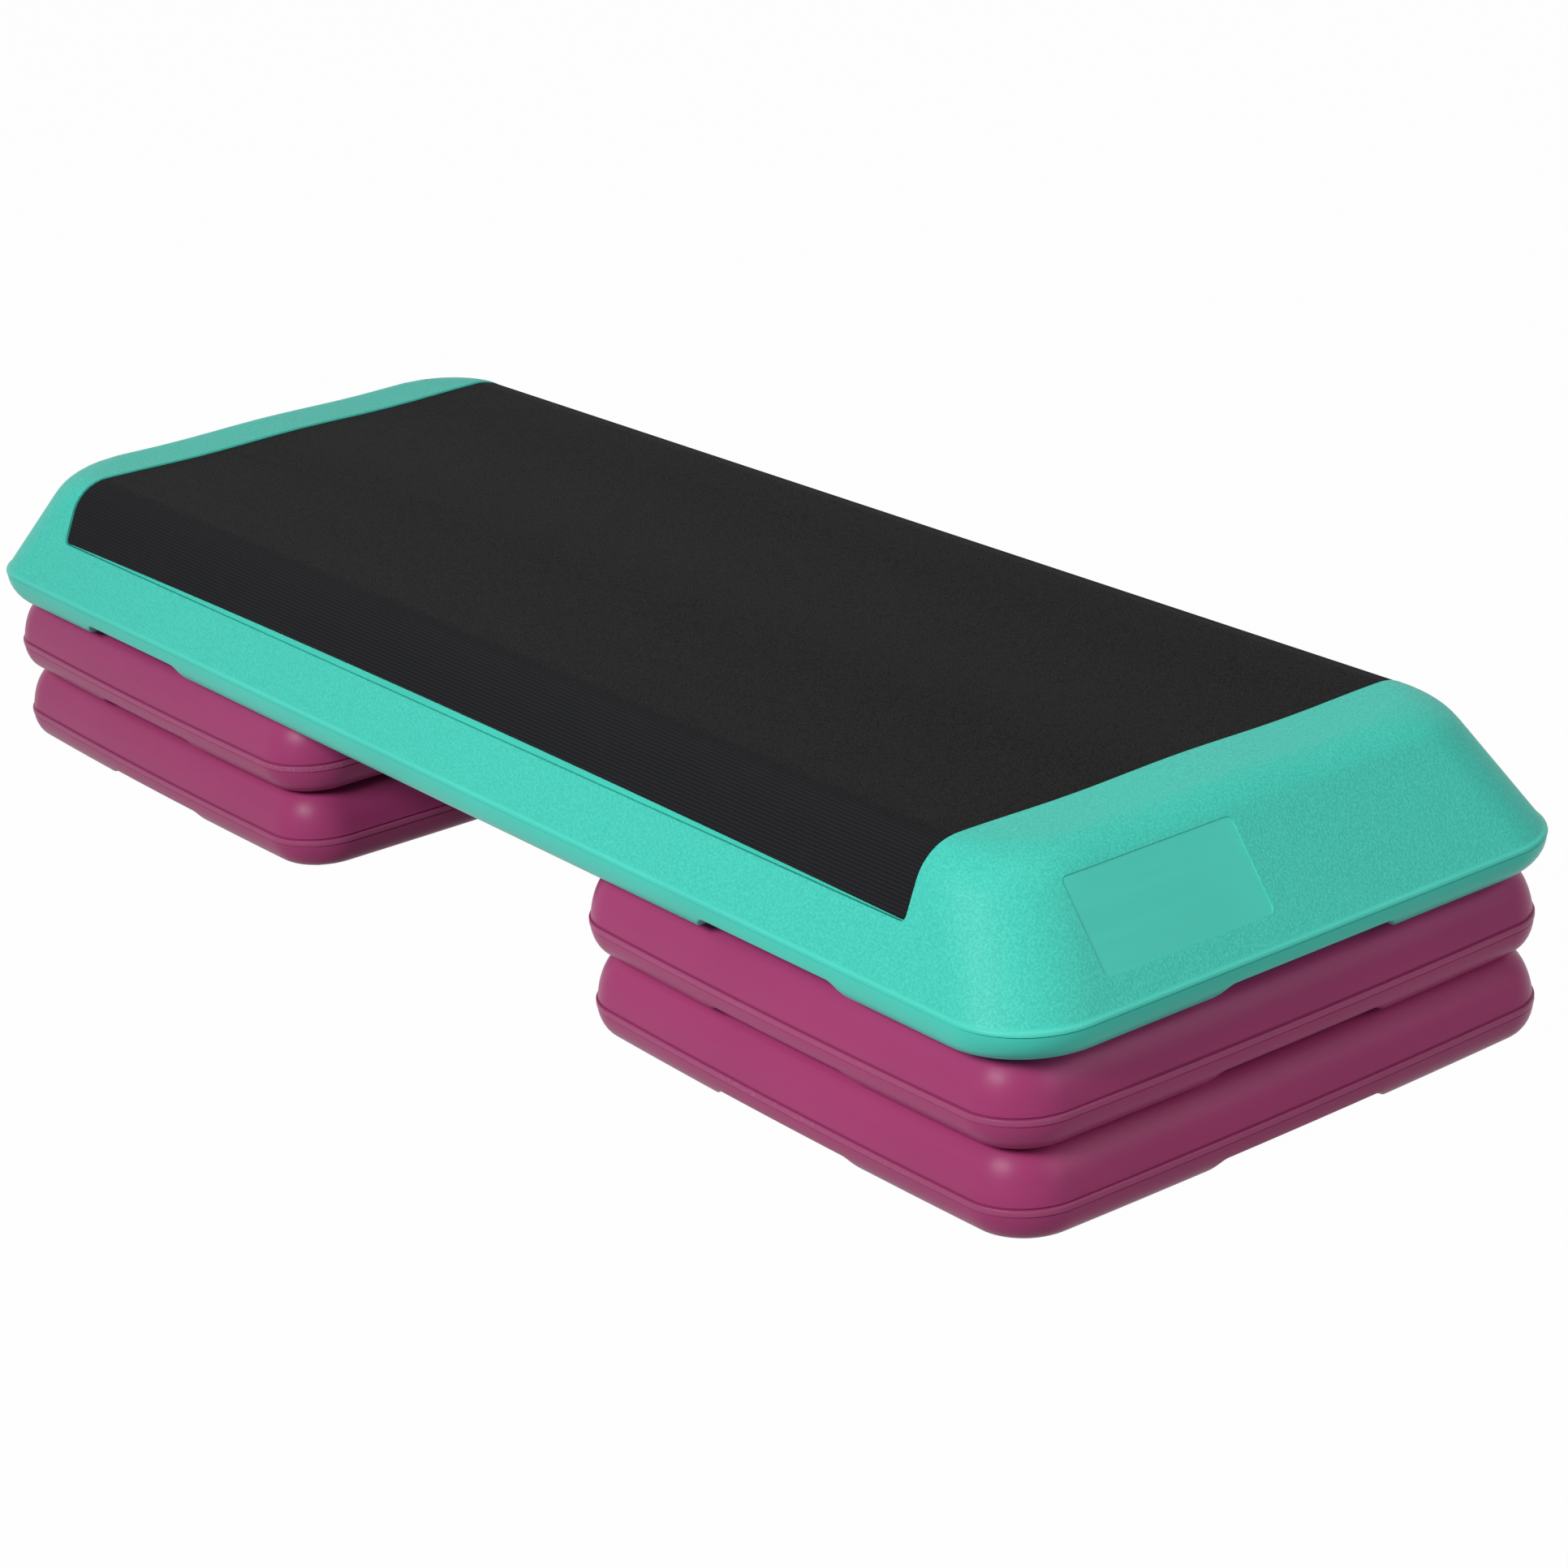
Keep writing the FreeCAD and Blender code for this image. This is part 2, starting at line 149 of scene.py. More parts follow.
DECK_FLAT_Y = DECK_HALF_WIDTH - DECK_SIDE_RUN - DECK_ROUND * math.tan(SIDE_LEAN / 2)

# Recess for the mat, and the blank label panel
RECESS_HALF = 447.5
RECESS_EDGE = 54.0
RECESS_CORNER = 4.0
RECESS_DEPTH = 3.5
WALL_RUN = 0.3
RECESS_MARKS = (0.0, 1.4, 2.6, 3.4, 3.7, 4.0, 4.5, 6.0, 9.0)
LABEL_Y = -75.0
LABEL_Z = 58.0
LABEL_HALF_LENGTH = 57.0
LABEL_HALF_HEIGHT = 27.5
LABEL_CORNER = 4.0
LABEL_DEPTH = 0.5
LABEL_MARKS = (0.0, 1.5, 2.8, 3.7, 4.0, 4.5, 6.0)

# Mat
MAT_HALF = 446.5
MAT_OUTER = 0.3
MAT_INNER = 3.3
MAT_EDGE = 55.0
MAT_CORNER = 3.0
MAT_MARKS = (0.0, 1.0, 1.8, 2.5, 3.0)
MAT_SOFTEN = 0.4

# Foot
FOOT_RADIUS = 6.0
FOOT_HEIGHT = 5.0
FOOT_MARKS = (0.0, 1.8, 2.2, 3.2, 3.6, 4.8)
FOOT_ROWS = ((5.4, 0.12), (5.8, 0.5), (6.0, 1.1), (6.0, 4.6), (5.7, 4.9))
FOOT_GROOVE = 2.7
FOOT_GROOVE_HALF = 0.6
FOOT_GROOVE_DEEP = 0.5

# Relief of the finishes, in metres
SKIN_RELIEF = 0.00004
TREAD_RELIEF = 0.00009
FOOT_RELIEF = 0.00008
WHITE = (1.0, 1.0, 1.0, 1.0)

# Stage, in metres: place and size of each light, the point they aim at, and the camera with its three axes
FRONT_LIGHT = ((0.5, -2.5, 1.85), (1.4, 0.8))
TOP_LIGHT = ((0.35, 0.1, 2.6), (1.4, 1.0))
END_LIGHT = ((2.8, 1.0, 1.5), (2.2, 1.5))
AIM = (0.1, 0.0, 0.1)
CAMERA_PLACE = (1.90531, -1.30446, 0.95629)
CAMERA_RIGHT = (0.60375, 0.7947, -0.06281)
CAMERA_UP = (-0.25696, 0.2686, 0.92834)
CAMERA_BACK = (0.75462, -0.54435, 0.36638)
CAMERA_LENS = 92.12
CAMERA_SENSOR = 36.0

PLATFORM_BODY = "platform"
RISERS = {
    "riser_lower_left": "base",
    "riser_lower_right": "base",
    "riser_upper_left": "upper_left",
    "riser_upper_right": "upper_right",
}


# Shapes

def smooth(t):
    """Eased step: 0 up to t = 0, 1 from t = 1, level at both ends (3 t squared less 2 t cubed)."""
    t = np.clip(t, 0.0, 1.0)
    return t * t * (3.0 - 2.0 * t)


def lines(marks, pitch):
    """Grid lines through every mark, with even steps between them no wider than pitch."""
    marks = np.unique(np.round(np.asarray(marks, float), 6))
    gaps = np.diff(marks)
    counts = np.maximum(1, np.ceil(gaps / pitch - 1e-6)).astype(int)
    first = np.repeat(np.cumsum(counts) - counts, counts)
    step = np.arange(counts.sum()) - first
    return np.append(np.repeat(marks[:-1], counts) + np.repeat(gaps / counts, counts) * step, marks[-1])


def mirrored(half):
    """Lines on both sides of zero from lines that start at zero."""
    return np.concatenate([-half[:0:-1], half])


def around(places, offsets):
    """Every place with every offset on both sides of it, without what falls below zero."""
    offsets = np.asarray(offsets, float)
    marks = np.add.outer(np.asarray(places, float), np.concatenate([-offsets, offsets])).ravel()
    return marks[marks >= 0]


def rounded(a, b, radius, reach):
    """Bends square rings about a centre into arcs, and gives the two distances after the bend.

    a and b are the distances from the centre. With q the larger of the two, a point on the square
    ring q goes to the arc of radius q, at an angle that grows evenly along the ring. The bend is
    full up to the radius, and has faded to nothing at radius plus reach.
    """
    inside = (a > 0) & (b > 0)
    q = np.maximum(np.maximum(a, b), 1e-9)
    turn = np.where(b < a, b / q, 2.0 - a / q) * (math.pi / 4)
    hold = smooth((radius + reach - q) / reach)
    return (np.where(inside, a + hold * (q * np.cos(turn) - a), a),
            np.where(inside, b + hold * (q * np.sin(turn) - b), b))


class Plan:
    """Columns round a rounded rectangle, and the grid that fills it.

    The front and back have columns at fixed x, the ends have columns at fixed y, and those of a
    corner divide the outline between the last x and the last y evenly. The loop starts in the
    middle of the front left corner and runs anticlockwise seen from above.
    """

    def __init__(self, half_x_lines, half_y_lines):
        xs, ys = mirrored(half_x_lines), mirrored(half_y_lines)
        self.last_x, self.last_y = half_x_lines[-1], half_y_lines[-1]
        share = np.arange(1, CORNER_COLUMNS) / CORNER_COLUMNS
        middle = CORNER_COLUMNS // 2
        away = share[::-1]
        runs = [(CORNER, away[middle - 1:], -1, -1), (SIDE, xs, 0, -1), (CORNER, share, 1, -1),
                (END, ys, 1, 0), (CORNER, away, 1, 1), (SIDE, xs[::-1], 0, 1), (CORNER, share, -1, 1),
                (END, ys[::-1], -1, 0), (CORNER, away[:middle - 1], -1, -1)]
        self.kind = np.concatenate([np.full(len(r[1]), r[0]) for r in runs])
        self.along = np.concatenate([r[1] for r in runs])
        self.sx = np.concatenate([np.full(len(r[1]), r[2]) for r in runs])
        self.sy = np.concatenate([np.full(len(r[1]), r[3]) for r in runs])
        self.nx = len(xs) - 1 + CORNER_COLUMNS
        self.ny = len(ys) - 1 + CORNER_COLUMNS

    def ring(self, half_x, half_y, radius):
        """Points of the rounded rectangle of those half sizes, one row of x and y for each column."""
        tx, ty = half_x - radius, half_y - radius
        reach = np.abs(self.along)
        side_y = ty + np.sqrt(np.maximum(radius ** 2 - np.clip(reach - tx, 0, radius) ** 2, 0))
        end_x = tx + np.sqrt(np.maximum(radius ** 2 - np.clip(reach - ty, 0, radius) ** 2, 0))
        start = np.arccos(np.clip((self.last_x - tx) / radius, 0, 1))
        finish = np.arcsin(np.clip((self.last_y - ty) / radius, 0, 1))
        lead = np.maximum(tx - self.last_x, 0)
        bend = radius * (start - finish)
        run = self.along * (lead + bend + np.maximum(ty - self.last_y, 0))
        angle = start - np.clip(run - lead, 0, bend) / radius
        corner_x = tx + radius * np.cos(angle) - np.clip(lead - run, 0, None)
        corner_y = ty + radius * np.sin(angle) - np.clip(run - lead - bend, 0, None)
        where = [self.kind == SIDE, self.kind == END]
        x = np.select(where, [self.along, self.sx * end_x], self.sx * corner_x)
        y = np.select(where, [self.sy * side_y, self.along], self.sy * corner_y)
        return np.stack([x, y], -1)

    def filled(self, loop):
        """Grid of x and y inside a loop.

        Lines at fixed x and y run straight through. A line that starts in a corner keeps its
        share of the way from the last fixed line to the loop.
        """
        front, right = loop[:self.nx + 1], loop[self.nx:self.nx + self.ny + 1]
        x, side = front[:, 0], np.abs(front[:, 1])
        y, end = right[:, 1], np.abs(right[:, 0])
        h = np.clip((np.abs(x) - self.last_x) / (np.abs(x[0]) - self.last_x), 0, 1)
        g = np.clip((np.abs(y) - self.last_y) / (np.abs(y[0]) - self.last_y), 0, 1)
        gx = np.sign(x)[:, None] * (np.minimum(np.abs(x), self.last_x)[:, None]
                                    + np.outer(h, end - self.last_x))
        gy = np.sign(y)[None, :] * (np.minimum(np.abs(y), self.last_y)[None, :]
                                    + np.outer(side - self.last_y, g))
        return gx, gy


def edge_of(grid):
    """The outermost entries of a grid in the order of a plan's loop."""
    return np.concatenate([grid[:-1, 0], grid[-1, :-1], grid[:0:-1, -1], grid[0, :0:-1]])


def closed_shell(name, under, rings, over, marks):
    """One closed mesh: the grid underneath, the rings from its edge outwards and up, the grid on top.

    under and over are grids of points, rings has one row for each ring. marks gives the named
    values of the same three parts, kept on the mesh as attributes.
    """
    first = under.shape[0] * under.shape[1]
    count = rings.shape[0] * rings.shape[1]
    low = np.arange(first).reshape(under.shape[:2])
    wall = first + np.arange(count).reshape(rings.shape[:2])
    high = first + count + np.arange(over.shape[0] * over.shape[1]).reshape(over.shape[:2])
    loops = np.concatenate([edge_of(low)[None], wall, edge_of(high)[None]])
    here, up = loops[:-1], loops[1:]
    band = np.stack([here, np.roll(here, -1, 1), np.roll(up, -1, 1), up], -1).reshape(-1, 4)
    roof = np.stack([high[:-1, :-1], high[1:, :-1], high[1:, 1:], high[:-1, 1:]], -1).reshape(-1, 4)
    base = np.stack([low[:-1, :-1], low[:-1, 1:], low[1:, 1:], low[1:, :-1]], -1).reshape(-1, 4)
    quads = np.concatenate([band, roof, base]).astype(np.int32)
    points = np.concatenate([part.reshape(-1, 3) for part in (under, rings, over)]) * MM
    mesh = bpy.data.meshes.new(name)
    mesh.vertices.add(len(points))
    mesh.vertices.foreach_set("co", points.astype(np.float32).ravel())
    mesh.loops.add(quads.size)
    mesh.loops.foreach_set("vertex_index", quads.ravel())
    mesh.polygons.add(len(quads))
    mesh.polygons.foreach_set("loop_start", np.arange(0, quads.size, 4, dtype=np.int32))
    mesh.polygons.foreach_set("use_smooth", np.ones(len(quads), bool))
    mesh.update(calc_edges=True)
    for mark, parts in marks.items():
        values = np.concatenate([np.asarray(p, np.float32).ravel() for p in parts])
        mesh.attributes.new(mark, "FLOAT", "POINT").data.foreach_set("value", values)
    if mesh.validate():
        raise RuntimeError(name + ": the mesh has faces that don't close")
    mesh.set_sharp_from_angle(angle=SHARP_ANGLE)
    piece = bpy.data.objects.new(name, mesh)
    bpy.context.scene.collection.objects.link(piece)
    return piece


def band_inset(rim, z):
    """Inset of the round band: a quarter ellipse, upright at the girth and level at the rim's flat."""
    drop = np.clip((GIRTH - z) / (GIRTH - RIM_LEVEL), 0, 1)
    return BAND_STEP + (rim - BAND_STEP) * (1 - np.sqrt(1 - drop ** 2))


def skirt(level, ease, rim, width, roof, parting, seam):
    """Insets and heights of a moulding from its tray's roof round the rim and up to the parting groove.

    level is the rim's height in each column, raised in a notch by ease from 0 to 1. The tray's wall
    leans from rim + width at the floor to a draft more at the roof. From the rim's flat the round
    band climbs to the groove. A notch cuts the band off level, with a small round at the cut.
    """
    level, ease = np.asarray(level, float), np.asarray(ease, float)

    def wall(z):
        return rim + width + TRAY_DRAFT * z / roof

    fillet = TRAY_FILLET * (1 - math.sqrt(0.5))
    flat = np.zeros_like(level)
    rows = [(wall(roof) + TRAY_FILLET + flat, roof + flat),
            (wall(roof) + fillet + flat, roof - fillet + flat),
            (wall(roof - TRAY_FILLET) + flat, roof - TRAY_FILLET + flat),
            (wall(roof - 2 * TRAY_FILLET) + flat, roof - 2 * TRAY_FILLET + flat),
            (wall(level + 5), level + 5)]
    corner = wall(level + INNER_ROUND)
    for turn in np.radians((0, 30, 60, 90)):
        rows.append((corner - INNER_ROUND * (1 - math.cos(turn)), level + INNER_ROUND * (1 - math.sin(turn))))
    tall = GIRTH - RIM_LEVEL
    first, last = np.arccos((GIRTH - level) / tall), math.acos((GIRTH - parting + 0.8) / tall)
    rows.append((band_inset(rim, level) + NOTCH_ROUND * ease + 2.0, level))
    for share, back, lift in BAND_ROWS:
        z = GIRTH - tall * np.cos(first + (last - first) * share)
        rows.append((band_inset(rim, z) + back * NOTCH_ROUND * ease, z + lift * NOTCH_ROUND * ease))
    for rise, depth in GROOVE_ROWS:
        rows.append((band_inset(rim, parting + rise) + depth * seam + flat, parting + rise + flat))
    insets, heights = (np.stack(part) for part in zip(*rows))
    return insets, heights


def notch_ease(plan, distance):
    """Share of a notch's depth: 1 over its roof, a raised cosine down its ramp, 0 beyond and in corners."""
    ramp = np.clip((NOTCH_ROOF + NOTCH_RAMP - distance) / NOTCH_RAMP, 0, 1)
    return np.where(plan.kind == CORNER, 0.0, 0.5 - 0.5 * np.cos(math.pi * ramp))


def near_level(heights, centre, half):
    """1 at a height, easing to 0 within half above and below it."""
    return smooth(1.0 - np.abs(heights - centre) / half)


def pockets(x, y, z, centres, height):
    """Weld pockets in a tray's roof: round cups that narrow upwards, and the blind vent at the middle.

    About each centre the square grid rings are bent into circles, and the ring at distance q rises
    by the share of the cup's height that its taper gives between the mouth and the tip.
    """
    for cx, cy in centres:
        a, b = np.abs(x - cx), np.abs(y - cy)
        q = np.maximum(a, b)
        near = q < POCKET_MARKS[-1]
        ra, rb = rounded(a, b, POCKET_MARKS[-2], POCKET_MARKS[-1] - POCKET_MARKS[-2])
        rise = np.interp(q, (0, POCKET_TIP - 1, POCKET_TIP, POCKET_MOUTH - 0.5, POCKET_MOUTH, 17.5),
                         (1, 1, 0.96, 0.07, 0.03, 0))
        x = np.where(near, cx + np.sign(x - cx) * ra, x)
        y = np.where(near, cy + np.sign(y - cy) * rb, y)
        z = z + height * rise
    a, b = np.abs(x), np.abs(y)
    q = np.maximum(a, b)
    ra, rb = rounded(a, b, VENT + 0.5, 2.0)
    near = q < VENT_MARKS[-1]
    return (np.where(near, np.sign(x) * ra, x), np.where(near, np.sign(y) * rb, y),
            z + np.where(q < VENT - 0.1, VENT_DEEP, 0.0))


def bowed(points):
    """Barrel bow of a riser: each side stands out most at its middle."""
    u, v = points[..., 0] / RISER_HALF, points[..., 1] / RISER_HALF
    pull = RISER_BOW / RISER_HALF
    out = points.copy()
    out[..., 0] *= 1 - pull * v * v
    out[..., 1] *= 1 - pull * u * u
    return out


def riser_shape(seam):
    """Points of one riser about its own middle, standing on its floor level.

    The skirt comes first, then a shoulder that is a quarter of a superellipse, a little leaner than an
    ellipse, from the girth to the top, then the land with a round-ended key along the middle of each side.
    """
    half_lines = lines(np.concatenate([
        VENT_MARKS, KEY_COLUMNS, (RISER_FIXED,), around([RISER_POCKET], POCKET_MARKS),
        np.linspace(NOTCH_ROOF, NOTCH_ROOF + NOTCH_RAMP, RISER_RAMP_COLUMNS)]), RISER_PITCH)
    plan = Plan(half_lines, half_lines)
    ease = notch_ease(plan, np.abs(plan.along))
    insets, heights = skirt(RIM_LEVEL + RISER_NOTCH * ease, ease, RISER_RIM, RISER_RIM_WIDTH, RISER_ROOF,
                            RISER_PARTING, seam)
    turns, power = np.radians(RISER_TURNS), 2 / RISER_FULLNESS
    lip_heights, lip_insets = np.array(RISER_LIP).T
    climb = GIRTH + (RISER_TOP - GIRTH) * np.sin(turns) ** power
    step = RISER_LIP_STEP * (1 - smooth((climb - RISER_CREASE) / RISER_LIP_FADE))
    shoulder = RISER_SHOULDER * (1 - np.cos(turns) ** power) + step
    land = np.append(KEY_INSET + np.array(KEY_ROWS), RISER_LAND)
    insets_up = np.concatenate([lip_insets, shoulder, land])
    heights_up = np.concatenate([lip_heights, climb, np.full(len(land), RISER_TOP)])
    wide = np.ones(len(plan.along))
    insets = np.concatenate([insets, insets_up[:, None] * wide])
    heights = np.concatenate([heights, heights_up[:, None] * wide])
    flat = np.stack([plan.ring(RISER_HALF - i, RISER_HALF - i, RISER_CORNER - i) for i in insets])

    reach = np.abs(plan.along)[None] * np.ones_like(insets)
    on_side = (plan.kind != CORNER)[None] & (heights > RISER_TOP - 0.5)
    a, b = reach - (KEY_HALF_LENGTH - KEY_HALF_WIDTH), insets - KEY_INSET
    ra, rb = rounded(a, np.abs(b), KEY_HALF_WIDTH, 1.5)
    inward = np.sign(b) * (rb - np.abs(b)) * on_side
    onward = np.sign(plan.along) * (ra - a) * on_side
    front = (plan.kind == SIDE)[None]
    flat[..., 0] += np.where(front, onward, -plan.sx * inward)
    flat[..., 1] += np.where(front, -plan.sy * inward, onward)
    within = np.minimum(KEY_HALF_WIDTH - np.abs(b), KEY_HALF_LENGTH - reach)
    heights = heights + on_side * KEY_HEIGHT * np.interp(within, *KEY_EDGE)

    rings = np.concatenate([bowed(flat), heights[..., None]], -1)
    x, y = plan.filled(flat[0])
    spots = [(sx * RISER_POCKET, sy * RISER_POCKET) for sx in (-1, 1) for sy in (-1, 1)]
    x, y, z = pockets(x, y, np.full(x.shape, RISER_ROOF), spots, RISER_TOP - RISER_SKIN - RISER_ROOF)
    under = np.concatenate([bowed(np.stack([x, y], -1)), z[..., None]], -1)
    x, y = plan.filled(flat[-1])
    over = np.concatenate([bowed(np.stack([x, y], -1)), np.full(x.shape + (1,), RISER_TOP)], -1)
    tall = heights[1:-1]
    # Painted shade: the parting groove and the crease above the lip are marked to be darkened in the colour.
    groove_shade = np.maximum(0.35 * near_level(tall, RISER_PARTING, 0.5), near_level(tall, RISER_CREASE, 0.9))
    strip = smooth((tall - RISER_PARTING - 0.3) / 0.6) * smooth((RISER_CREASE - 0.2 - tall) / 0.6)
    # Wear and painted highlight: the lip strip between the groove and the crease is marked to be painted
    # paler, and the rim's bottom edge for wear.
    wear_and_highlight = np.maximum(strip, smooth((RIM_LEVEL + 1.5 - tall) / 1.5))
    nothing = (np.zeros(under.shape[:2]), np.zeros(over.shape[:2]))
    marks = {"seam": (nothing[0], groove_shade, nothing[1]), "wear_and_highlight": (nothing[0], wear_and_highlight, nothing[1])}
    return under, rings[1:-1], over, marks


def slope_inset(run, turn, z):
    """Inset of a deck slope: straight up to the rounding, then an arc that ends level with the top."""
    lean = math.atan2(DECK_SLOPE, run)
    arc = run + DECK_ROUND * (math.tan(lean / 2) - np.sin(turn))
    return np.where(turn < lean, arc, run * (z - GIRTH) / DECK_SLOPE)


def wave(y, amount):
    """Shallow valleys of the top at a quarter and three quarters of its width."""
    return amount * 0.5 * (1 - np.cos(2 * math.pi * np.clip(y / DECK_FLAT_Y, -1, 1)))


def deck_shape(seam, dip):
    """Points of the deck standing on its floor level.

    The skirt comes first, then four slopes that round over into the flat top. The mat's recess and
    the label panel are set in square to the surface, with walls between doubled grid lines.
    """
    label_marks = np.asarray(LABEL_MARKS) + LABEL_HALF_LENGTH - LABEL_CORNER
    ramp = np.linspace(NOTCH_ROOF, NOTCH_ROOF + NOTCH_RAMP, DECK_RAMP_COLUMNS)
    pitch_x, pitch_y, pitch_z = DECK_PITCH
    x_lines = lines(np.concatenate([
        VENT_MARKS, (DECK_FIXED_X,), around(DECK_POCKETS_X, POCKET_MARKS), around([DECK_NOTCH_AT], ramp),
        np.asarray(RECESS_MARKS) + RECESS_HALF - RECESS_CORNER]), pitch_x)
    y_lines = lines(np.concatenate([
        VENT_MARKS, (DECK_FIXED_Y,), ramp, around([DECK_POCKETS_Y], POCKET_MARKS),
        np.abs(LABEL_Y + label_marks), np.abs(LABEL_Y - label_marks)]), pitch_y)
    plan = Plan(x_lines, y_lines)
    reach = np.abs(plan.along)
    ease = notch_ease(plan, np.where(plan.kind == SIDE, np.abs(reach - DECK_NOTCH_AT), reach))
    level = RIM_LEVEL + DECK_NOTCH * ease
    ends, heights = skirt(level, ease, DECK_RIM_END, DECK_RIM_WIDTH, DECK_ROOF, DECK_PARTING, seam)
    sides, _ = skirt(level, ease, DECK_RIM_SIDE, DECK_RIM_WIDTH, DECK_ROOF, DECK_PARTING, seam)

    label_rise = (np.asarray(LABEL_MARKS) + LABEL_HALF_HEIGHT - LABEL_CORNER) * math.sin(END_LEAN)
    recess_rise = (RECESS_CORNER - np.asarray(RECESS_MARKS)) * math.sin(SIDE_LEAN)
    bend_level = DECK_TOP - DECK_ROUND * (1 - math.cos(SIDE_LEAN))
    lip_heights, lip_share = np.array(DECK_LIP).T
    straight = np.concatenate([lip_heights, (24.0, 26.0, 67.0, bend_level),
                               LABEL_Z - label_rise, RECESS_EDGE + recess_rise])
    arc = DECK_TOP - DECK_ROUND * (1 - np.cos(np.radians(DECK_TURNS)))
    climb = lines(np.concatenate([straight, LABEL_Z + label_rise, arc]), pitch_z)
    turns = np.arccos(np.clip(1 - (DECK_TOP - climb) / DECK_ROUND, -1, 1))
    wide = np.ones(len(plan.along))
    skirt_rows = len(heights)
    share = np.interp(climb, lip_heights, lip_share)
    ends = np.concatenate([ends, (share * slope_inset(DECK_END_RUN, turns, climb))[:, None] * wide])
    sides = np.concatenate([sides, (share * slope_inset(DECK_SIDE_RUN, turns, climb))[:, None] * wide])
    heights = np.concatenate([heights, climb[:, None] * wide])
    flat = np.stack([plan.ring(DECK_HALF_LENGTH - e, DECK_HALF_WIDTH - s, DECK_CORNER)
                     for e, s in zip(ends, sides)])
    rings = np.concatenate([flat, heights[..., None]], -1)
    upper = rings[skirt_rows:]

    side = (plan.kind == SIDE)[None]
    t = ((climb - RECESS_EDGE) / math.sin(SIDE_LEAN))[:, None]
    a, b = reach[None] - (RECESS_HALF - RECESS_CORNER), RECESS_CORNER - t
    ra, rb = rounded(a, b, RECESS_CORNER, RECESS_MARKS[-1] - RECESS_CORNER)
    lean = np.minimum(turns, SIDE_LEAN)[:, None]
    in_recess = side & (reach[None] < RECESS_HALF - 0.5 * WALL_RUN) & (t > 0.5 * WALL_RUN)
    climb_by = np.where(side, b - rb, 0.0)
    sink = RECESS_DEPTH * in_recess
    upper[..., 0] += np.where(side, np.sign(plan.along) * (ra - a), 0.0)
    upper[..., 1] -= plan.sy * (climb_by * math.cos(SIDE_LEAN) + sink * np.sin(lean))
    upper[..., 2] += climb_by * math.sin(SIDE_LEAN) - sink * np.cos(lean)

    end = ((plan.kind == END) & (plan.sx > 0))[None]
    t = ((climb - LABEL_Z) / math.sin(END_LEAN))[:, None]
    y = (plan.along - LABEL_Y)[None]
    a = np.abs(y) - (LABEL_HALF_LENGTH - LABEL_CORNER)
    b = np.abs(t) - (LABEL_HALF_HEIGHT - LABEL_CORNER)
    ra, rb = rounded(a, b, LABEL_CORNER, LABEL_MARKS[-1] - LABEL_CORNER)
    on_label = (end & (np.abs(y) < LABEL_HALF_LENGTH - 0.5 * WALL_RUN)
                & (np.abs(t) < LABEL_HALF_HEIGHT - 0.5 * WALL_RUN))
    climb_by = np.where(end, np.sign(t) * (rb - b), 0.0)
    sink = LABEL_DEPTH * on_label
    upper[..., 1] += np.where(end, np.sign(y) * (ra - a), 0.0)
    upper[..., 0] -= climb_by * math.cos(END_LEAN) + sink * math.sin(END_LEAN)
    upper[..., 2] += climb_by * math.sin(END_LEAN) - sink * math.cos(END_LEAN)
    upper[..., 2] -= wave(upper[..., 1], dip) * smooth((climb - 80.0) / 12.0)[:, None]

    x, y = plan.filled(flat[0])
    spots = [(px, sy * DECK_POCKETS_Y) for px in mirrored(np.array(DECK_POCKETS_X)) for sy in (-1, 1)]
    x, y, z = pockets(x, y, np.full(x.shape, DECK_ROOF), spots, DECK_CEILING - DECK_ROOF)
    under = np.stack([x, y, z], -1)
    x, y = plan.filled(flat[-1])
    floor = np.abs(x) < RECESS_HALF - 0.5 * WALL_RUN
    over = np.stack([x, y, DECK_TOP - RECESS_DEPTH * floor - wave(y, dip)], -1)

    grain = np.zeros(heights.shape)
    grain[skirt_rows:] = smooth((climb - DECK_LIP[-1][0]) / 1.0)[:, None] * ~in_recess * ~on_label
    nothing = (np.zeros(under.shape[:2]), np.zeros(over.shape[:2]))
    # Painted shade: the parting groove is marked to be darkened in the colour.
    groove_shade = near_level(heights, DECK_PARTING, 0.5)
    # Wear and painted highlight: the lip bead is marked to be painted paler, and the rim's bottom edge for
    # wear.
    wear_and_highlight = np.maximum(near_level(heights, DECK_LIP[-3][0], 0.8), smooth((RIM_LEVEL + 1.5 - heights) / 1.5))
    marks = {"grain": (nothing[0], grain[1:-1], 1.0 - floor),
             "seam": (nothing[0], groove_shade[1:-1], nothing[1]),
             "wear_and_highlight": (nothing[0], wear_and_highlight[1:-1], nothing[1])}
    return under, rings[1:-1], over, marks


def mat_point(x, s, depth, dip):
    """A point of the mat: x along it, s across it from the middle, depth under the deck's surface.

    Across, the section runs level to the edge of the flat, round the deck's edge, and straight down
    the slope.
    """
    reach = np.abs(s)
    turn = np.clip((reach - DECK_FLAT_Y) / DECK_ROUND, 0, SIDE_LEAN)
    tail = np.maximum(reach - DECK_FLAT_Y - DECK_ROUND * SIDE_LEAN, 0)
    radius = DECK_ROUND - depth
    y = np.minimum(reach, DECK_FLAT_Y) + radius * np.sin(turn) + tail * math.cos(SIDE_LEAN)
    z = DECK_TOP - DECK_ROUND + radius * np.cos(turn) - tail * math.sin(SIDE_LEAN)
    y = np.sign(s) * y
    return np.stack([x + 0 * y, y, z - wave(y, dip) * (turn == 0)], -1)


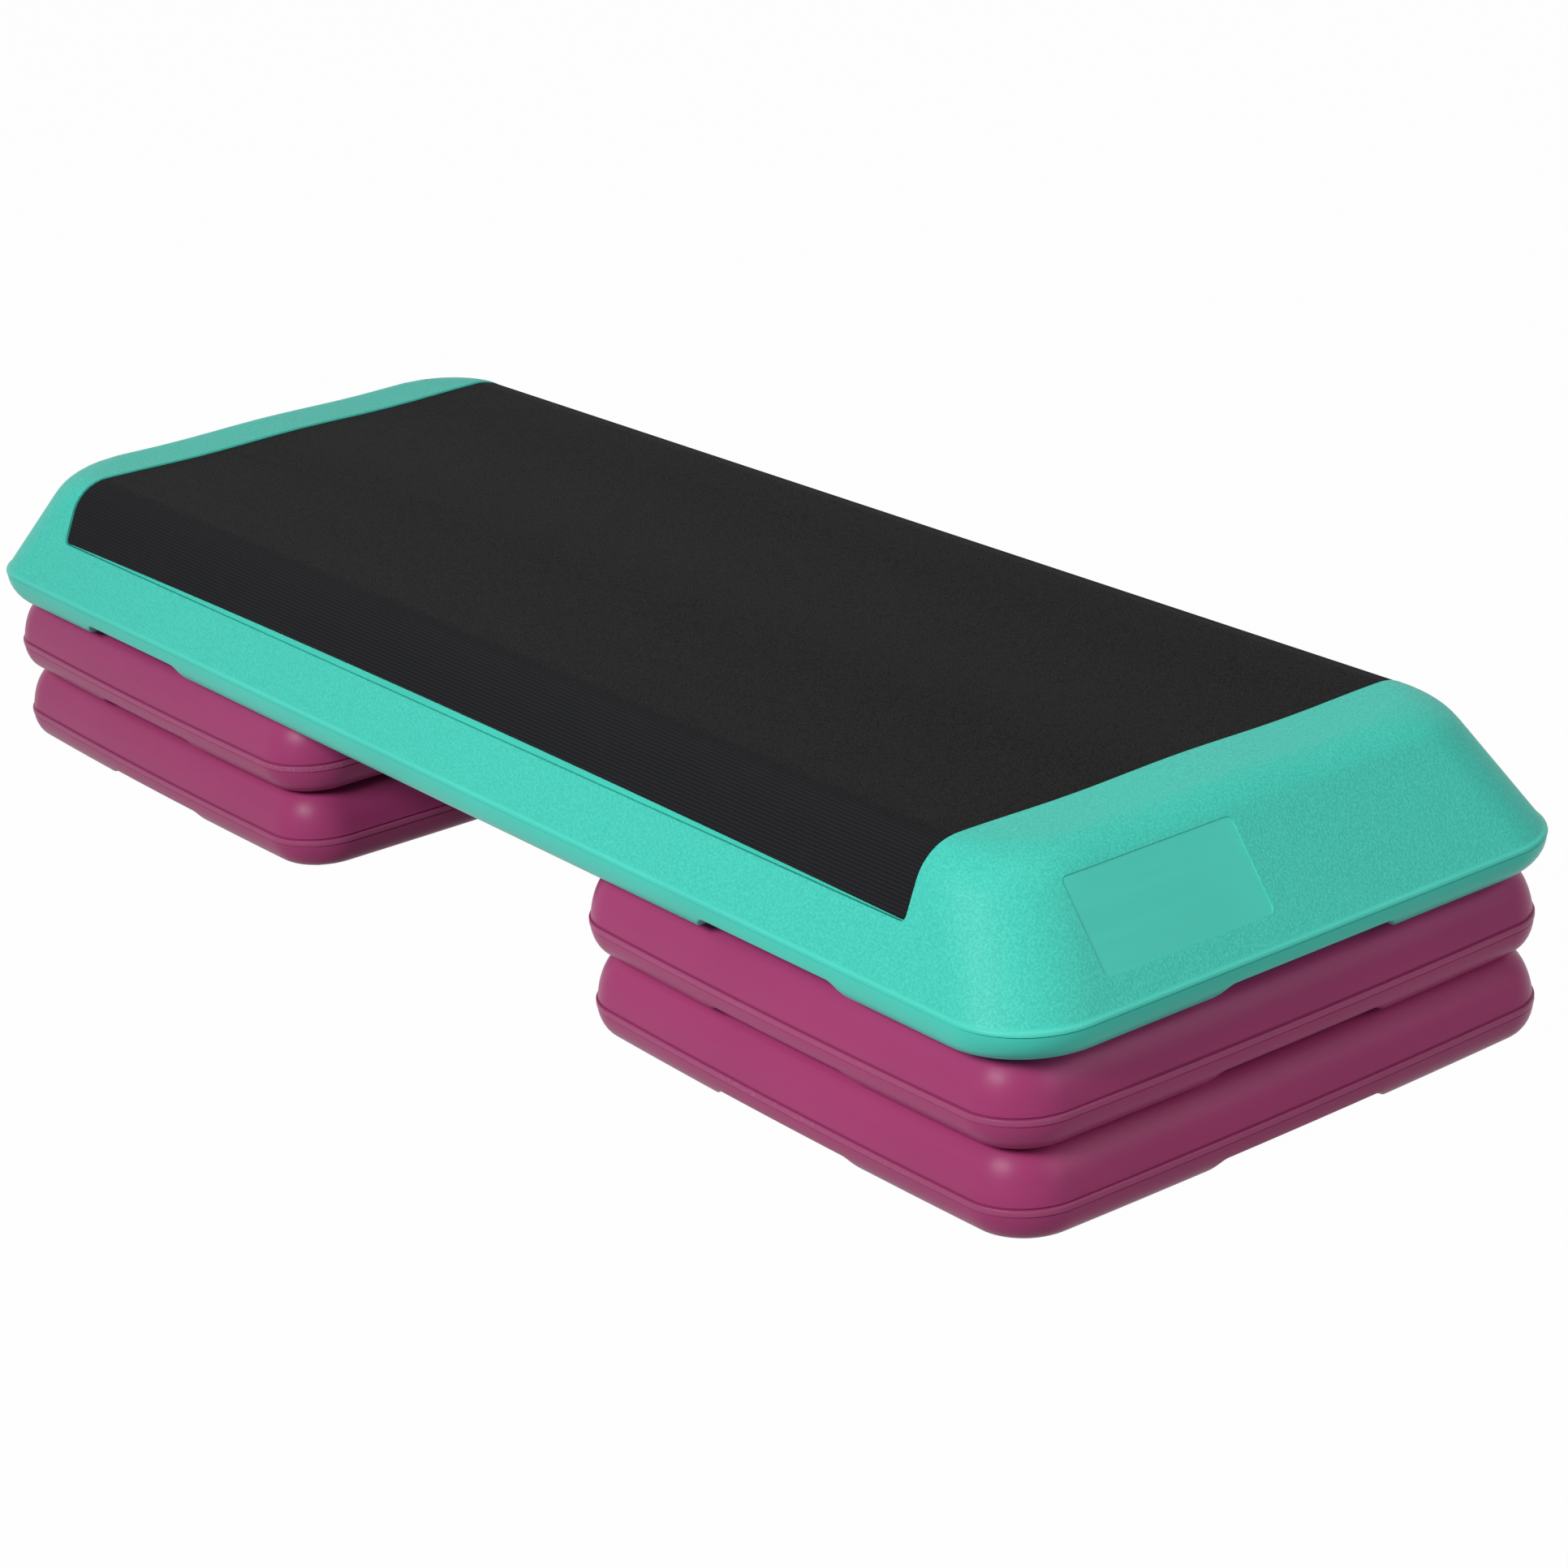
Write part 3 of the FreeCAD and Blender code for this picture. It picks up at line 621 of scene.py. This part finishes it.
def mat_shape(pitch, height, lift, dip):
    """Points of the tread mat: a bent sheet with ribs along both noses and rounded lower corners.

    A rib is a raised cosine of that pitch and height. The ribs begin at the end of the flat and grow
    to full height over the rounding. The lower edge rises by lift towards the middle of its length.
    """
    bend = DECK_FLAT_Y + DECK_ROUND * SIDE_LEAN
    drop = DECK_TOP - DECK_ROUND + DECK_ROUND * math.cos(SIDE_LEAN) - MAT_EDGE
    last = bend + drop / math.sin(SIDE_LEAN)
    xs = mirrored(lines(np.concatenate([(0.0,), np.array(MAT_MARKS) + MAT_HALF - MAT_CORNER]), 36.0))
    ribbed = np.arange(DECK_FLAT_Y, last, pitch / 6)
    ss = mirrored(np.concatenate([lines((0.0, DECK_FLAT_Y - 1.5), 10.0), ribbed, (last,)]))
    x, s = np.meshgrid(xs, ss, indexing="ij")
    ra, rb = rounded(np.abs(x) - MAT_HALF + MAT_CORNER, np.abs(s) - last + MAT_CORNER, MAT_CORNER, 1.0)
    x = np.sign(x) * (ra + MAT_HALF - MAT_CORNER)
    s = np.sign(s) * (rb + last - MAT_CORNER)
    tail = np.maximum(np.abs(s) - bend, 0) / (last - bend)
    s = s - np.sign(s) * tail * lift * (1 - (x / MAT_HALF) ** 2)
    reach = np.abs(s)
    rib = 0.5 - 0.5 * np.cos(2 * math.pi * (reach - DECK_FLAT_Y) / pitch)
    rib = rib * smooth((reach - DECK_FLAT_Y - pitch) / 12.0) * (reach > DECK_FLAT_Y)
    ends = smooth((MAT_HALF - np.abs(x)) / 1.5) * smooth((last - reach) / 1.2)
    shrink = (1 - MAT_SOFTEN / MAT_HALF, 1 - MAT_SOFTEN / last)
    over = mat_point(x * shrink[0], s * shrink[1], MAT_OUTER + height * (1 - rib * ends), dip)
    under = mat_point(x, s, np.full(x.shape, MAT_INNER), dip)
    ex, es = edge_of(x), edge_of(s)
    rings = np.stack([mat_point(ex, es, np.full(ex.shape, d), dip)
                      for d in (MAT_INNER - 0.4, MAT_OUTER + height + 0.8, MAT_OUTER + height + 0.25)])
    slope = smooth((np.abs(s) - DECK_FLAT_Y) / 14.0)
    # The rib profile is kept on the mesh for the painted highlight on the crests.
    marks = {"ribbed": (slope, np.stack([edge_of(slope)] * 3), slope),
             "crest_highlight": (np.zeros(x.shape), np.zeros(rings.shape[:2]), rib)}
    return under, rings, over, marks


def foot_shape(cx, cy, base):
    """Points of one round foot: a pad with a ring groove beneath, bent from a square grid into discs."""
    u = mirrored(np.array(FOOT_MARKS))
    x, y = np.meshgrid(u, u, indexing="ij")
    q = np.maximum(np.abs(x), np.abs(y))
    ra, rb = rounded(np.abs(x), np.abs(y), FOOT_RADIUS, 1.0)
    x, y = np.sign(x) * ra, np.sign(y) * rb
    under = np.stack([x, y, FOOT_GROOVE_DEEP * (np.abs(q - FOOT_GROOVE) < FOOT_GROOVE_HALF)], -1)
    over = np.stack([x, y, np.full(x.shape, FOOT_HEIGHT)], -1)
    loop = np.stack([edge_of(x), edge_of(y)], -1) / FOOT_MARKS[-1]
    rings = np.stack([np.concatenate([loop * r, np.full((len(loop), 1), z)], -1) for r, z in FOOT_ROWS])
    place = np.array((cx, cy, base))
    return under + place, rings + place, over + place, {}


# Finishes

class Value:
    """One output socket of a finish. Arithmetic on it adds Math nodes to that finish."""

    def __init__(self, finish, socket):
        self.finish, self.socket = finish, socket

    def _sum(self, operation, *terms):
        """A Math node of that operation on the terms."""
        return self.finish.add("ShaderNodeMath", {"operation": operation}, dict(enumerate(terms)))

    def __add__(self, other):
        return self._sum("ADD", self, other)

    def __radd__(self, other):
        return self._sum("ADD", other, self)

    def __sub__(self, other):
        return self._sum("SUBTRACT", self, other)

    def __rsub__(self, other):
        return self._sum("SUBTRACT", other, self)

    def __mul__(self, other):
        return self._sum("MULTIPLY", self, other)

    def __rmul__(self, other):
        return self._sum("MULTIPLY", other, self)

    def between(self, low, high):
        """Eased step of the value from 0 at low to 1 at high."""
        return self.finish.add("ShaderNodeMapRange", {"interpolation_type": "SMOOTHSTEP"},
                               {"Value": self, "From Min": low, "From Max": high})


class Finish:
    """A material, or a world, built node by node."""

    def __init__(self, name, world=None):
        self.material = world or bpy.data.materials.new(name)
        self.material.use_nodes = True
        self.nodes, self.links = self.material.node_tree.nodes, self.material.node_tree.links
        self.nodes.clear()

    def add(self, kind, settings=None, inputs=None, output=0):
        """Adds a node of that type, sets it up, fills its sockets, and gives one of its outputs."""
        node = self.nodes.new(kind)
        for key, value in (settings or {}).items():
            setattr(node, key, value)
        for key, value in (inputs or {}).items():
            if isinstance(value, Value):
                self.links.new(value.socket, node.inputs[key])
            else:
                node.inputs[key].default_value = value
        return Value(self, node.outputs[output]) if len(node.outputs) else node

    def place(self):
        """Object coordinates."""
        return self.add("ShaderNodeTexCoord", output="Object")

    def mark(self, name):
        """A value kept on the mesh."""
        return self.add("ShaderNodeAttribute", {"attribute_name": name}, output="Fac")

    def stretched(self, where, factors):
        """A place with each coordinate multiplied by its own factor."""
        return self.add("ShaderNodeVectorMath", {"operation": "MULTIPLY"}, {0: where, 1: factors})

    def noise(self, where, scale, detail=2.0, roughness=0.5):
        """Soft random clouds, scale of them to the metre."""
        return self.add("ShaderNodeTexNoise", {}, {
            "Vector": where, "Scale": scale, "Detail": detail, "Roughness": roughness})

    def cells(self, where, scale, feature):
        """Random cells, scale of them to the metre."""
        return self.add("ShaderNodeTexVoronoi", {"feature": feature}, {"Vector": where, "Scale": scale})

    def blend(self, share, one, other):
        """Colour between two colours."""
        return self.add("ShaderNodeMix", {"data_type": "RGBA"}, {0: share, 6: one, 7: other}, output=2)

    def bump(self, height, distance):
        """Relief of that many metres for a height of 1."""
        return self.add("ShaderNodeBump", {}, {"Height": height, "Distance": distance, "Strength": 1.0})

    def surface(self, **inputs):
        """Ends the finish in one Principled surface, with sockets named with _ for a space."""
        named = {key.replace("_", " "): value for key, value in inputs.items()}
        shader = self.add("ShaderNodeBsdfPrincipled", {}, named)
        self.add("ShaderNodeOutputMaterial", {}, {"Surface": shader})
        return self.material


def tint(colour, factor):
    """A colour made lighter or darker by a factor, with alpha 1."""
    return tuple(min(1.0, c * factor) for c in colour) + (1.0,)


def moulded_plastic(name, colour, grain_size, grain_depth):
    """Blow-moulded polyethylene: faint clouding, fine skin, pebble grain where marked, paler nicked lips.

    The grain's pits carry painted shade and its tops a painted highlight, the parting groove and crease
    carry painted shade, and the paler lips are partly wear and partly a painted highlight.
    """
    f = Finish(name)
    where = f.place()
    clouds = f.noise(where, 7.0, 3.0)
    skin = f.noise(where, 420.0, 2.0)
    streaks = f.noise(f.stretched(where, (3.0, 3.0, 40.0)), 4.0, 2.0)
    seam, wear_and_highlight = f.mark("seam"), f.mark("wear_and_highlight")
    patches = f.noise(where, 9.0, 2.0).between(0.52, 0.66)
    # Ticks along the lips: partly trimming scratches, partly painted glints.
    scratch_and_glint_ticks = f.noise(f.stretched(where, (900.0, 900.0, 300.0)), 1.0, 2.0, 0.6).between(0.5, 0.7)
    nicks_and_glints = wear_and_highlight * patches * scratch_and_glint_ticks
    body = f.blend(clouds.between(0.3, 0.7), tint(colour, 0.955), tint(colour, 1.045))
    body = f.blend(streaks.between(0.35, 0.75) * 0.35, body, tint(colour, 1.06))
    height = skin * 0.25
    rough = 0.32 + skin * 0.08 + nicks_and_glints * 0.1
    if grain_depth > 0:
        grain = f.mark("grain")
        worms = f.noise(where, 1.0 / grain_size, 1.0, 0.4).between(0.34, 0.66)
        pits = f.cells(where, 0.8 / grain_size, "F1").between(0.15, 0.75)
        pebble = worms * 0.7 + (1.0 - pits) * 0.3
        # Painted shade and highlight: the grain's pits are painted darker and its tops lighter, standing in
        # for the grain's own shading.
        shade = f.blend(pebble, tint(colour, 0.86), tint(colour, 1.08))
        body = f.blend(grain, body, shade)
        height = height + pebble * grain * (grain_depth / SKIN_RELIEF)
        rough = rough + grain * 0.1
    # Painted shade: the colour darkens in the parting groove and the crease, as marked on the mesh.
    body = f.blend(seam * 0.55, body, tint(colour, 0.55))
    # Partly wear, partly painted highlight: the lips and their ticks are painted paler, standing in for light
    # caught by the bead.
    body = f.blend(wear_and_highlight * 0.06 + nicks_and_glints * 0.16, body, tuple(0.4 + 0.6 * c for c in colour) + (1.0,))
    return f.surface(Base_Color=body, Roughness=rough, Normal=f.bump(height, SKIN_RELIEF),
                     Specular_IOR_Level=0.14)


def tread_rubber(name, colour, dot_size):
    """Black rubber sheet: fine pebbled top, smoother dusty ribs on the noses, painted highlight on the rib
    crests.
    """
    f = Finish(name)
    where = f.place()
    ribbed, crest_highlight = f.mark("ribbed"), f.mark("crest_highlight")
    dots = f.cells(where, 1.0 / dot_size, "DISTANCE_TO_EDGE").between(0.0, 0.35)
    clouds = f.noise(where, 5.0, 3.0)
    fine = f.noise(where, 900.0, 2.0)
    dust = f.noise(where, 60.0, 5.0, 0.65).between(0.5, 0.8)
    body = f.blend(clouds.between(0.3, 0.7), tint(colour, 0.92), tint(colour, 1.10))
    body = f.blend((1.0 - ribbed) * 0.9, body, f.blend(dots, tint(colour, 0.45), tint(colour, 1.6)))
    body = f.blend(ribbed * 0.6, body, (colour[0] * 0.9, colour[1] * 0.95, colour[2] * 1.25, 1.0))
    # Painted highlight: the rib crests are painted lighter.
    body = f.blend(crest_highlight * ribbed * 0.6, body, tint(colour, 2.0))
    body = f.blend(dust * 0.12, body, tint(colour, 2.2))
    height = dots * (1.0 - ribbed) + fine * 0.35
    rough = 0.56 + fine * 0.12 - dots * 0.05
    return f.surface(Base_Color=body, Roughness=rough, Normal=f.bump(height, TREAD_RELIEF),
                     Specular_IOR_Level=0.02)


def foot_rubber(name, colour):
    """Soft grey-black rubber with a floury bloom."""
    f = Finish(name)
    where = f.place()
    bloom = f.noise(where, 220.0, 4.0, 0.6)
    body = f.blend(bloom.between(0.4, 0.75), tint(colour, 0.8), tint(colour, 1.5))
    return f.surface(Base_Color=body, Roughness=0.7 + bloom * 0.15, Normal=f.bump(bloom, FOOT_RELIEF))


def seen_directly(finish):
    """1 for what the camera, a gloss or a clear piece sees, 0 for light on its way."""
    rays = ("Is Camera Ray", "Is Glossy Ray", "Is Transmission Ray")
    camera, gloss, clear = (finish.add("ShaderNodeLightPath", output=ray) for ray in rays)
    return camera + gloss + clear


def studio_floor(name, colour, whiteness):
    """Pale paper floor: nearly white to the eye, with the object's shadow, and clear from below."""
    f = Finish(name)
    fibres = f.noise(f.place(), 3.0, 2.0)
    tone = f.blend(fibres, tint(colour, 0.985), tint(colour, 1.0))
    paper = f.add("ShaderNodeBsdfDiffuse", {}, {"Color": tone})
    white = f.add("ShaderNodeEmission", {}, {"Color": WHITE, "Strength": 1.0})
    seen = f.add("ShaderNodeMixShader", {}, {0: seen_directly(f) * whiteness, 1: paper, 2: white})
    beneath = f.add("ShaderNodeNewGeometry", output="Backfacing")
    f.add("ShaderNodeOutputMaterial", {}, {"Surface": f.add("ShaderNodeMixShader", {}, {
        0: beneath, 1: seen, 2: f.add("ShaderNodeBsdfTransparent")})})
    return f.material


def studio_sky(name, strength):
    """World with even light all round, plain white where it is seen directly."""
    world = bpy.data.worlds.new(name)
    f = Finish(name, world)
    light = f.add("ShaderNodeBackground", {}, {"Color": WHITE, "Strength": strength})
    white = f.add("ShaderNodeBackground", {}, {"Color": WHITE, "Strength": 1.0})
    f.add("ShaderNodeOutputWorld", {}, {"Surface": f.add("ShaderNodeMixShader", {}, {
        0: seen_directly(f), 1: light, 2: white})})
    return world


# Settings

class StepDeckSettings(bpy.types.PropertyGroup):
    colour: FloatVectorProperty(
        name="Deck colour", description="Colour of the platform moulding", subtype="COLOR",
        default=(0.062, 0.573, 0.466), min=0.0, max=1.0)
    grain_size: FloatProperty(
        name="Grain size", description="Width of one pebble of the moulded grain", unit="LENGTH",
        default=0.0013, min=0.0005, max=0.01)
    grain_depth: FloatProperty(
        name="Grain depth", description="Depth of the moulded grain", unit="LENGTH",
        default=0.00013, min=0.0, max=0.001)
    seam: FloatProperty(
        name="Parting groove", description="Depth of the groove round the girth", unit="LENGTH",
        default=0.0004, min=0.0, max=0.002)
    dip: FloatProperty(
        name="Top dip", description="Depth of the two shallow valleys along the top", unit="LENGTH",
        default=0.0012, min=0.0, max=0.004)


class StepRiserSettings(bpy.types.PropertyGroup):
    colour: FloatVectorProperty(
        name="Riser colour", description="Colour of the risers", subtype="COLOR",
        default=(0.33, 0.0415, 0.144), min=0.0, max=1.0)
    seam: FloatProperty(
        name="Parting groove", description="Depth of the groove round the girth", unit="LENGTH",
        default=0.0004, min=0.0, max=0.002)


class StepMatSettings(bpy.types.PropertyGroup):
    colour: FloatVectorProperty(
        name="Mat colour", description="Colour of the tread rubber", subtype="COLOR",
        default=(0.012, 0.012, 0.0125), min=0.0, max=1.0)
    rib_pitch: FloatProperty(
        name="Rib pitch", description="Distance from one rib to the next", unit="LENGTH",
        default=0.0022, min=0.001, max=0.01)
    rib_height: FloatProperty(
        name="Rib height", description="Height of a rib over the groove beside it", unit="LENGTH",
        default=0.0005, min=0.0, max=0.0015)
    edge_lift: FloatProperty(
        name="Edge lift", description="Rise of the lower edge at the middle of its length", unit="LENGTH",
        default=0.0035, min=0.0, max=0.01)
    dot_size: FloatProperty(
        name="Pebble size", description="Width of one pebble of the tread's top", unit="LENGTH",
        default=0.0016, min=0.0005, max=0.01)


class StepFootSettings(bpy.types.PropertyGroup):
    colour: FloatVectorProperty(
        name="Foot colour", description="Colour of the rubber feet", subtype="COLOR",
        default=(0.022, 0.022, 0.024), min=0.0, max=1.0)


class StepStageSettings(bpy.types.PropertyGroup):
    floor_colour: FloatVectorProperty(
        name="Floor colour", description="Colour of the paper floor", subtype="COLOR",
        default=(0.42, 0.42, 0.42), min=0.0, max=1.0)
    floor_white: FloatProperty(
        name="Floor whiteness", description="Share of plain white where the floor is seen", subtype="FACTOR",
        default=0.985, min=0.0, max=1.0)
    floor_size: FloatProperty(
        name="Floor size", description="Length of one side of the floor", unit="LENGTH",
        default=16.0, min=2.0, max=50.0)
    sky: FloatProperty(
        name="Sky light", description="Strength of the even light from all round",
        default=0.04, min=0.0, max=2.0)
    front: FloatProperty(
        name="Front light", description="Power of the soft light above and before the front", unit="POWER",
        default=82.0, min=0.0, max=1000.0)
    top: FloatProperty(
        name="Top light", description="Power of the soft light overhead", unit="POWER",
        default=12.0, min=0.0, max=1000.0)
    end: FloatProperty(
        name="End light", description="Power of the soft light beyond the right-hand end", unit="POWER",
        default=32.0, min=0.0, max=1000.0)


class StepSettings(bpy.types.PropertyGroup):
    deck: PointerProperty(name="Deck", description="Platform moulding", type=StepDeckSettings)
    riser: PointerProperty(name="Risers", description="Riser mouldings", type=StepRiserSettings)
    mat: PointerProperty(name="Mat", description="Tread mat", type=StepMatSettings)
    foot: PointerProperty(name="Feet", description="Rubber feet", type=StepFootSettings)
    stage: PointerProperty(name="Stage", description="Floor, lights and camera", type=StepStageSettings)


# Operators

def floor_of(node, proud):
    """Middle and floor level of a node at rest in millimetres, with its feet standing proud of it."""
    low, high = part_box(node)
    return np.array(((low.x + high.x) / 2, (low.y + high.y) / 2, low.z)) / MM - (0.0, 0.0, proud)


def dress(piece, node, body, material):
    """Puts a finished piece in a node's place."""
    piece.data.materials.append(material)
    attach(piece, body)
    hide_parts(node)


class STEP_OT_risers(bpy.types.Operator):
    """Build the four stacking risers"""
    bl_idname = "step_platform.risers"
    bl_label = "Build risers"

    def execute(self, context):
        settings = context.scene.step_platform.riser
        material = moulded_plastic("plum_plastic", tuple(settings.colour), 1.0, 0.0)
        under, rings, over, marks = riser_shape(settings.seam / MM)
        for node, body in RISERS.items():
            place = floor_of(node, RIM_LEVEL)
            piece = closed_shell(node + "_moulding", under + place, rings + place, over + place, marks)
            dress(piece, node, body, material)
        return {"FINISHED"}


class STEP_OT_deck(bpy.types.Operator):
    """Build the platform moulding"""
    bl_idname = "step_platform.deck"
    bl_label = "Build deck"

    def execute(self, context):
        settings = context.scene.step_platform.deck
        material = moulded_plastic("turquoise_plastic", tuple(settings.colour), settings.grain_size,
                                   settings.grain_depth)
        place = floor_of("deck_shell", RIM_LEVEL)
        under, rings, over, marks = deck_shape(settings.seam / MM, settings.dip / MM)
        piece = closed_shell("deck_moulding", under + place, rings + place, over + place, marks)
        dress(piece, "deck_shell", PLATFORM_BODY, material)
        return {"FINISHED"}


class STEP_OT_mat(bpy.types.Operator):
    """Build the ribbed tread mat"""
    bl_idname = "step_platform.mat"
    bl_label = "Build tread mat"

    def execute(self, context):
        settings = context.scene.step_platform.mat
        material = tread_rubber("tread_rubber_black", tuple(settings.colour), settings.dot_size)
        place = floor_of("deck_shell", RIM_LEVEL)
        under, rings, over, marks = mat_shape(
            settings.rib_pitch / MM, settings.rib_height / MM, settings.edge_lift / MM,
            context.scene.step_platform.deck.dip / MM)
        piece = closed_shell("tread_mat_ribbed", under + place, rings + place, over + place, marks)
        dress(piece, "tread_mat", PLATFORM_BODY, material)
        return {"FINISHED"}


class STEP_OT_feet(bpy.types.Operator):
    """Build the rubber feet under the risers and the deck"""
    bl_idname = "step_platform.feet"
    bl_label = "Build feet"

    def execute(self, context):
        material = foot_rubber("foot_rubber_grey", tuple(context.scene.step_platform.foot.colour))
        bodies = frame["record"]["behaviour"]["bodies"]
        for body, members in bodies.items():
            for node in (n for n in members if n.startswith("foot_")):
                piece = closed_shell(node + "_pad", *foot_shape(*floor_of(node, 0.0)))
                dress(piece, node, body, material)
        return {"FINISHED"}


class STEP_OT_stage(bpy.types.Operator):
    """Set up the floor, the soft lights and the camera"""
    bl_idname = "step_platform.stage"
    bl_label = "Set up stage"

    def execute(self, context):
        settings = context.scene.step_platform.stage
        scene = context.scene
        scene.view_settings.view_transform = "Standard"
        half = settings.floor_size / 2
        mesh = bpy.data.meshes.new("floor")
        mesh.from_pydata([(-half, -half, 0), (half, -half, 0), (half, half, 0), (-half, half, 0)],
                         [], [(0, 1, 2, 3)])
        floor = bpy.data.objects.new("floor", mesh)
        scene.collection.objects.link(floor)
        mesh.materials.append(
            studio_floor("floor_paper", tuple(settings.floor_colour), settings.floor_white))
        self.light(scene, "front_softbox", settings.front, *FRONT_LIGHT)
        self.light(scene, "top_softbox", settings.top, *TOP_LIGHT)
        self.light(scene, "end_softbox", settings.end, *END_LIGHT)
        scene.world = studio_sky("studio_sky", settings.sky)
        self.camera(scene)
        return {"FINISHED"}

    def light(self, scene, name, power, place, size):
        """A soft light of that width and height, aimed at the middle of the object."""
        lamp = bpy.data.lights.new(name, "AREA")
        lamp.shape, lamp.energy = "RECTANGLE", power
        lamp.size, lamp.size_y = size
        box = bpy.data.objects.new(name, lamp)
        scene.collection.objects.link(box)
        box.location = place
        aim = Vector(AIM) - box.location
        box.rotation_euler = aim.to_track_quat("-Z", "Y").to_euler()

    def camera(self, scene):
        """Camera in front of the right-hand end, a little above the deck."""
        lens = bpy.data.cameras.new("camera")
        lens.lens, lens.sensor_width = CAMERA_LENS, CAMERA_SENSOR
        camera = bpy.data.objects.new("camera", lens)
        scene.collection.objects.link(camera)
        turn = Matrix((CAMERA_RIGHT, CAMERA_UP, CAMERA_BACK)).transposed().to_4x4()
        camera.matrix_world = Matrix.Translation(CAMERA_PLACE) @ turn
        scene.camera = camera


class STEP_PT_panel(bpy.types.Panel):
    """Sidebar panel with the builders of the step platform"""
    bl_idname = "STEP_PT_panel"
    bl_label = "Step platform"
    bl_space_type = "VIEW_3D"
    bl_region_type = "UI"
    bl_category = "Step"

    def draw(self, context):
        settings = context.scene.step_platform
        for group, operator in ((settings.riser, STEP_OT_risers), (settings.deck, STEP_OT_deck),
                                (settings.mat, STEP_OT_mat), (settings.foot, STEP_OT_feet),
                                (settings.stage, STEP_OT_stage)):
            box = self.layout.box()
            for key in group.bl_rna.properties.keys():
                if key not in {"rna_type", "name"}:
                    box.prop(group, key)
            box.operator(operator.bl_idname)


CLASSES = (StepDeckSettings, StepRiserSettings, StepMatSettings, StepFootSettings, StepStageSettings,
           StepSettings, STEP_OT_risers, STEP_OT_deck, STEP_OT_mat, STEP_OT_feet, STEP_OT_stage,
           STEP_PT_panel)


def register():
    """Adds the classes and the settings to Blender."""
    for cls in CLASSES:
        bpy.utils.register_class(cls)
    bpy.types.Scene.step_platform = PointerProperty(type=StepSettings)


def unregister():
    """Takes the settings and the classes out again."""
    del bpy.types.Scene.step_platform
    for cls in reversed(CLASSES):
        bpy.utils.unregister_class(cls)


def main():
    """Builds every piece and the stage."""
    register()
    bpy.ops.step_platform.risers()
    bpy.ops.step_platform.deck()
    bpy.ops.step_platform.mat()
    bpy.ops.step_platform.feet()
    bpy.ops.step_platform.stage()


if __name__ == "__main__":
    main()
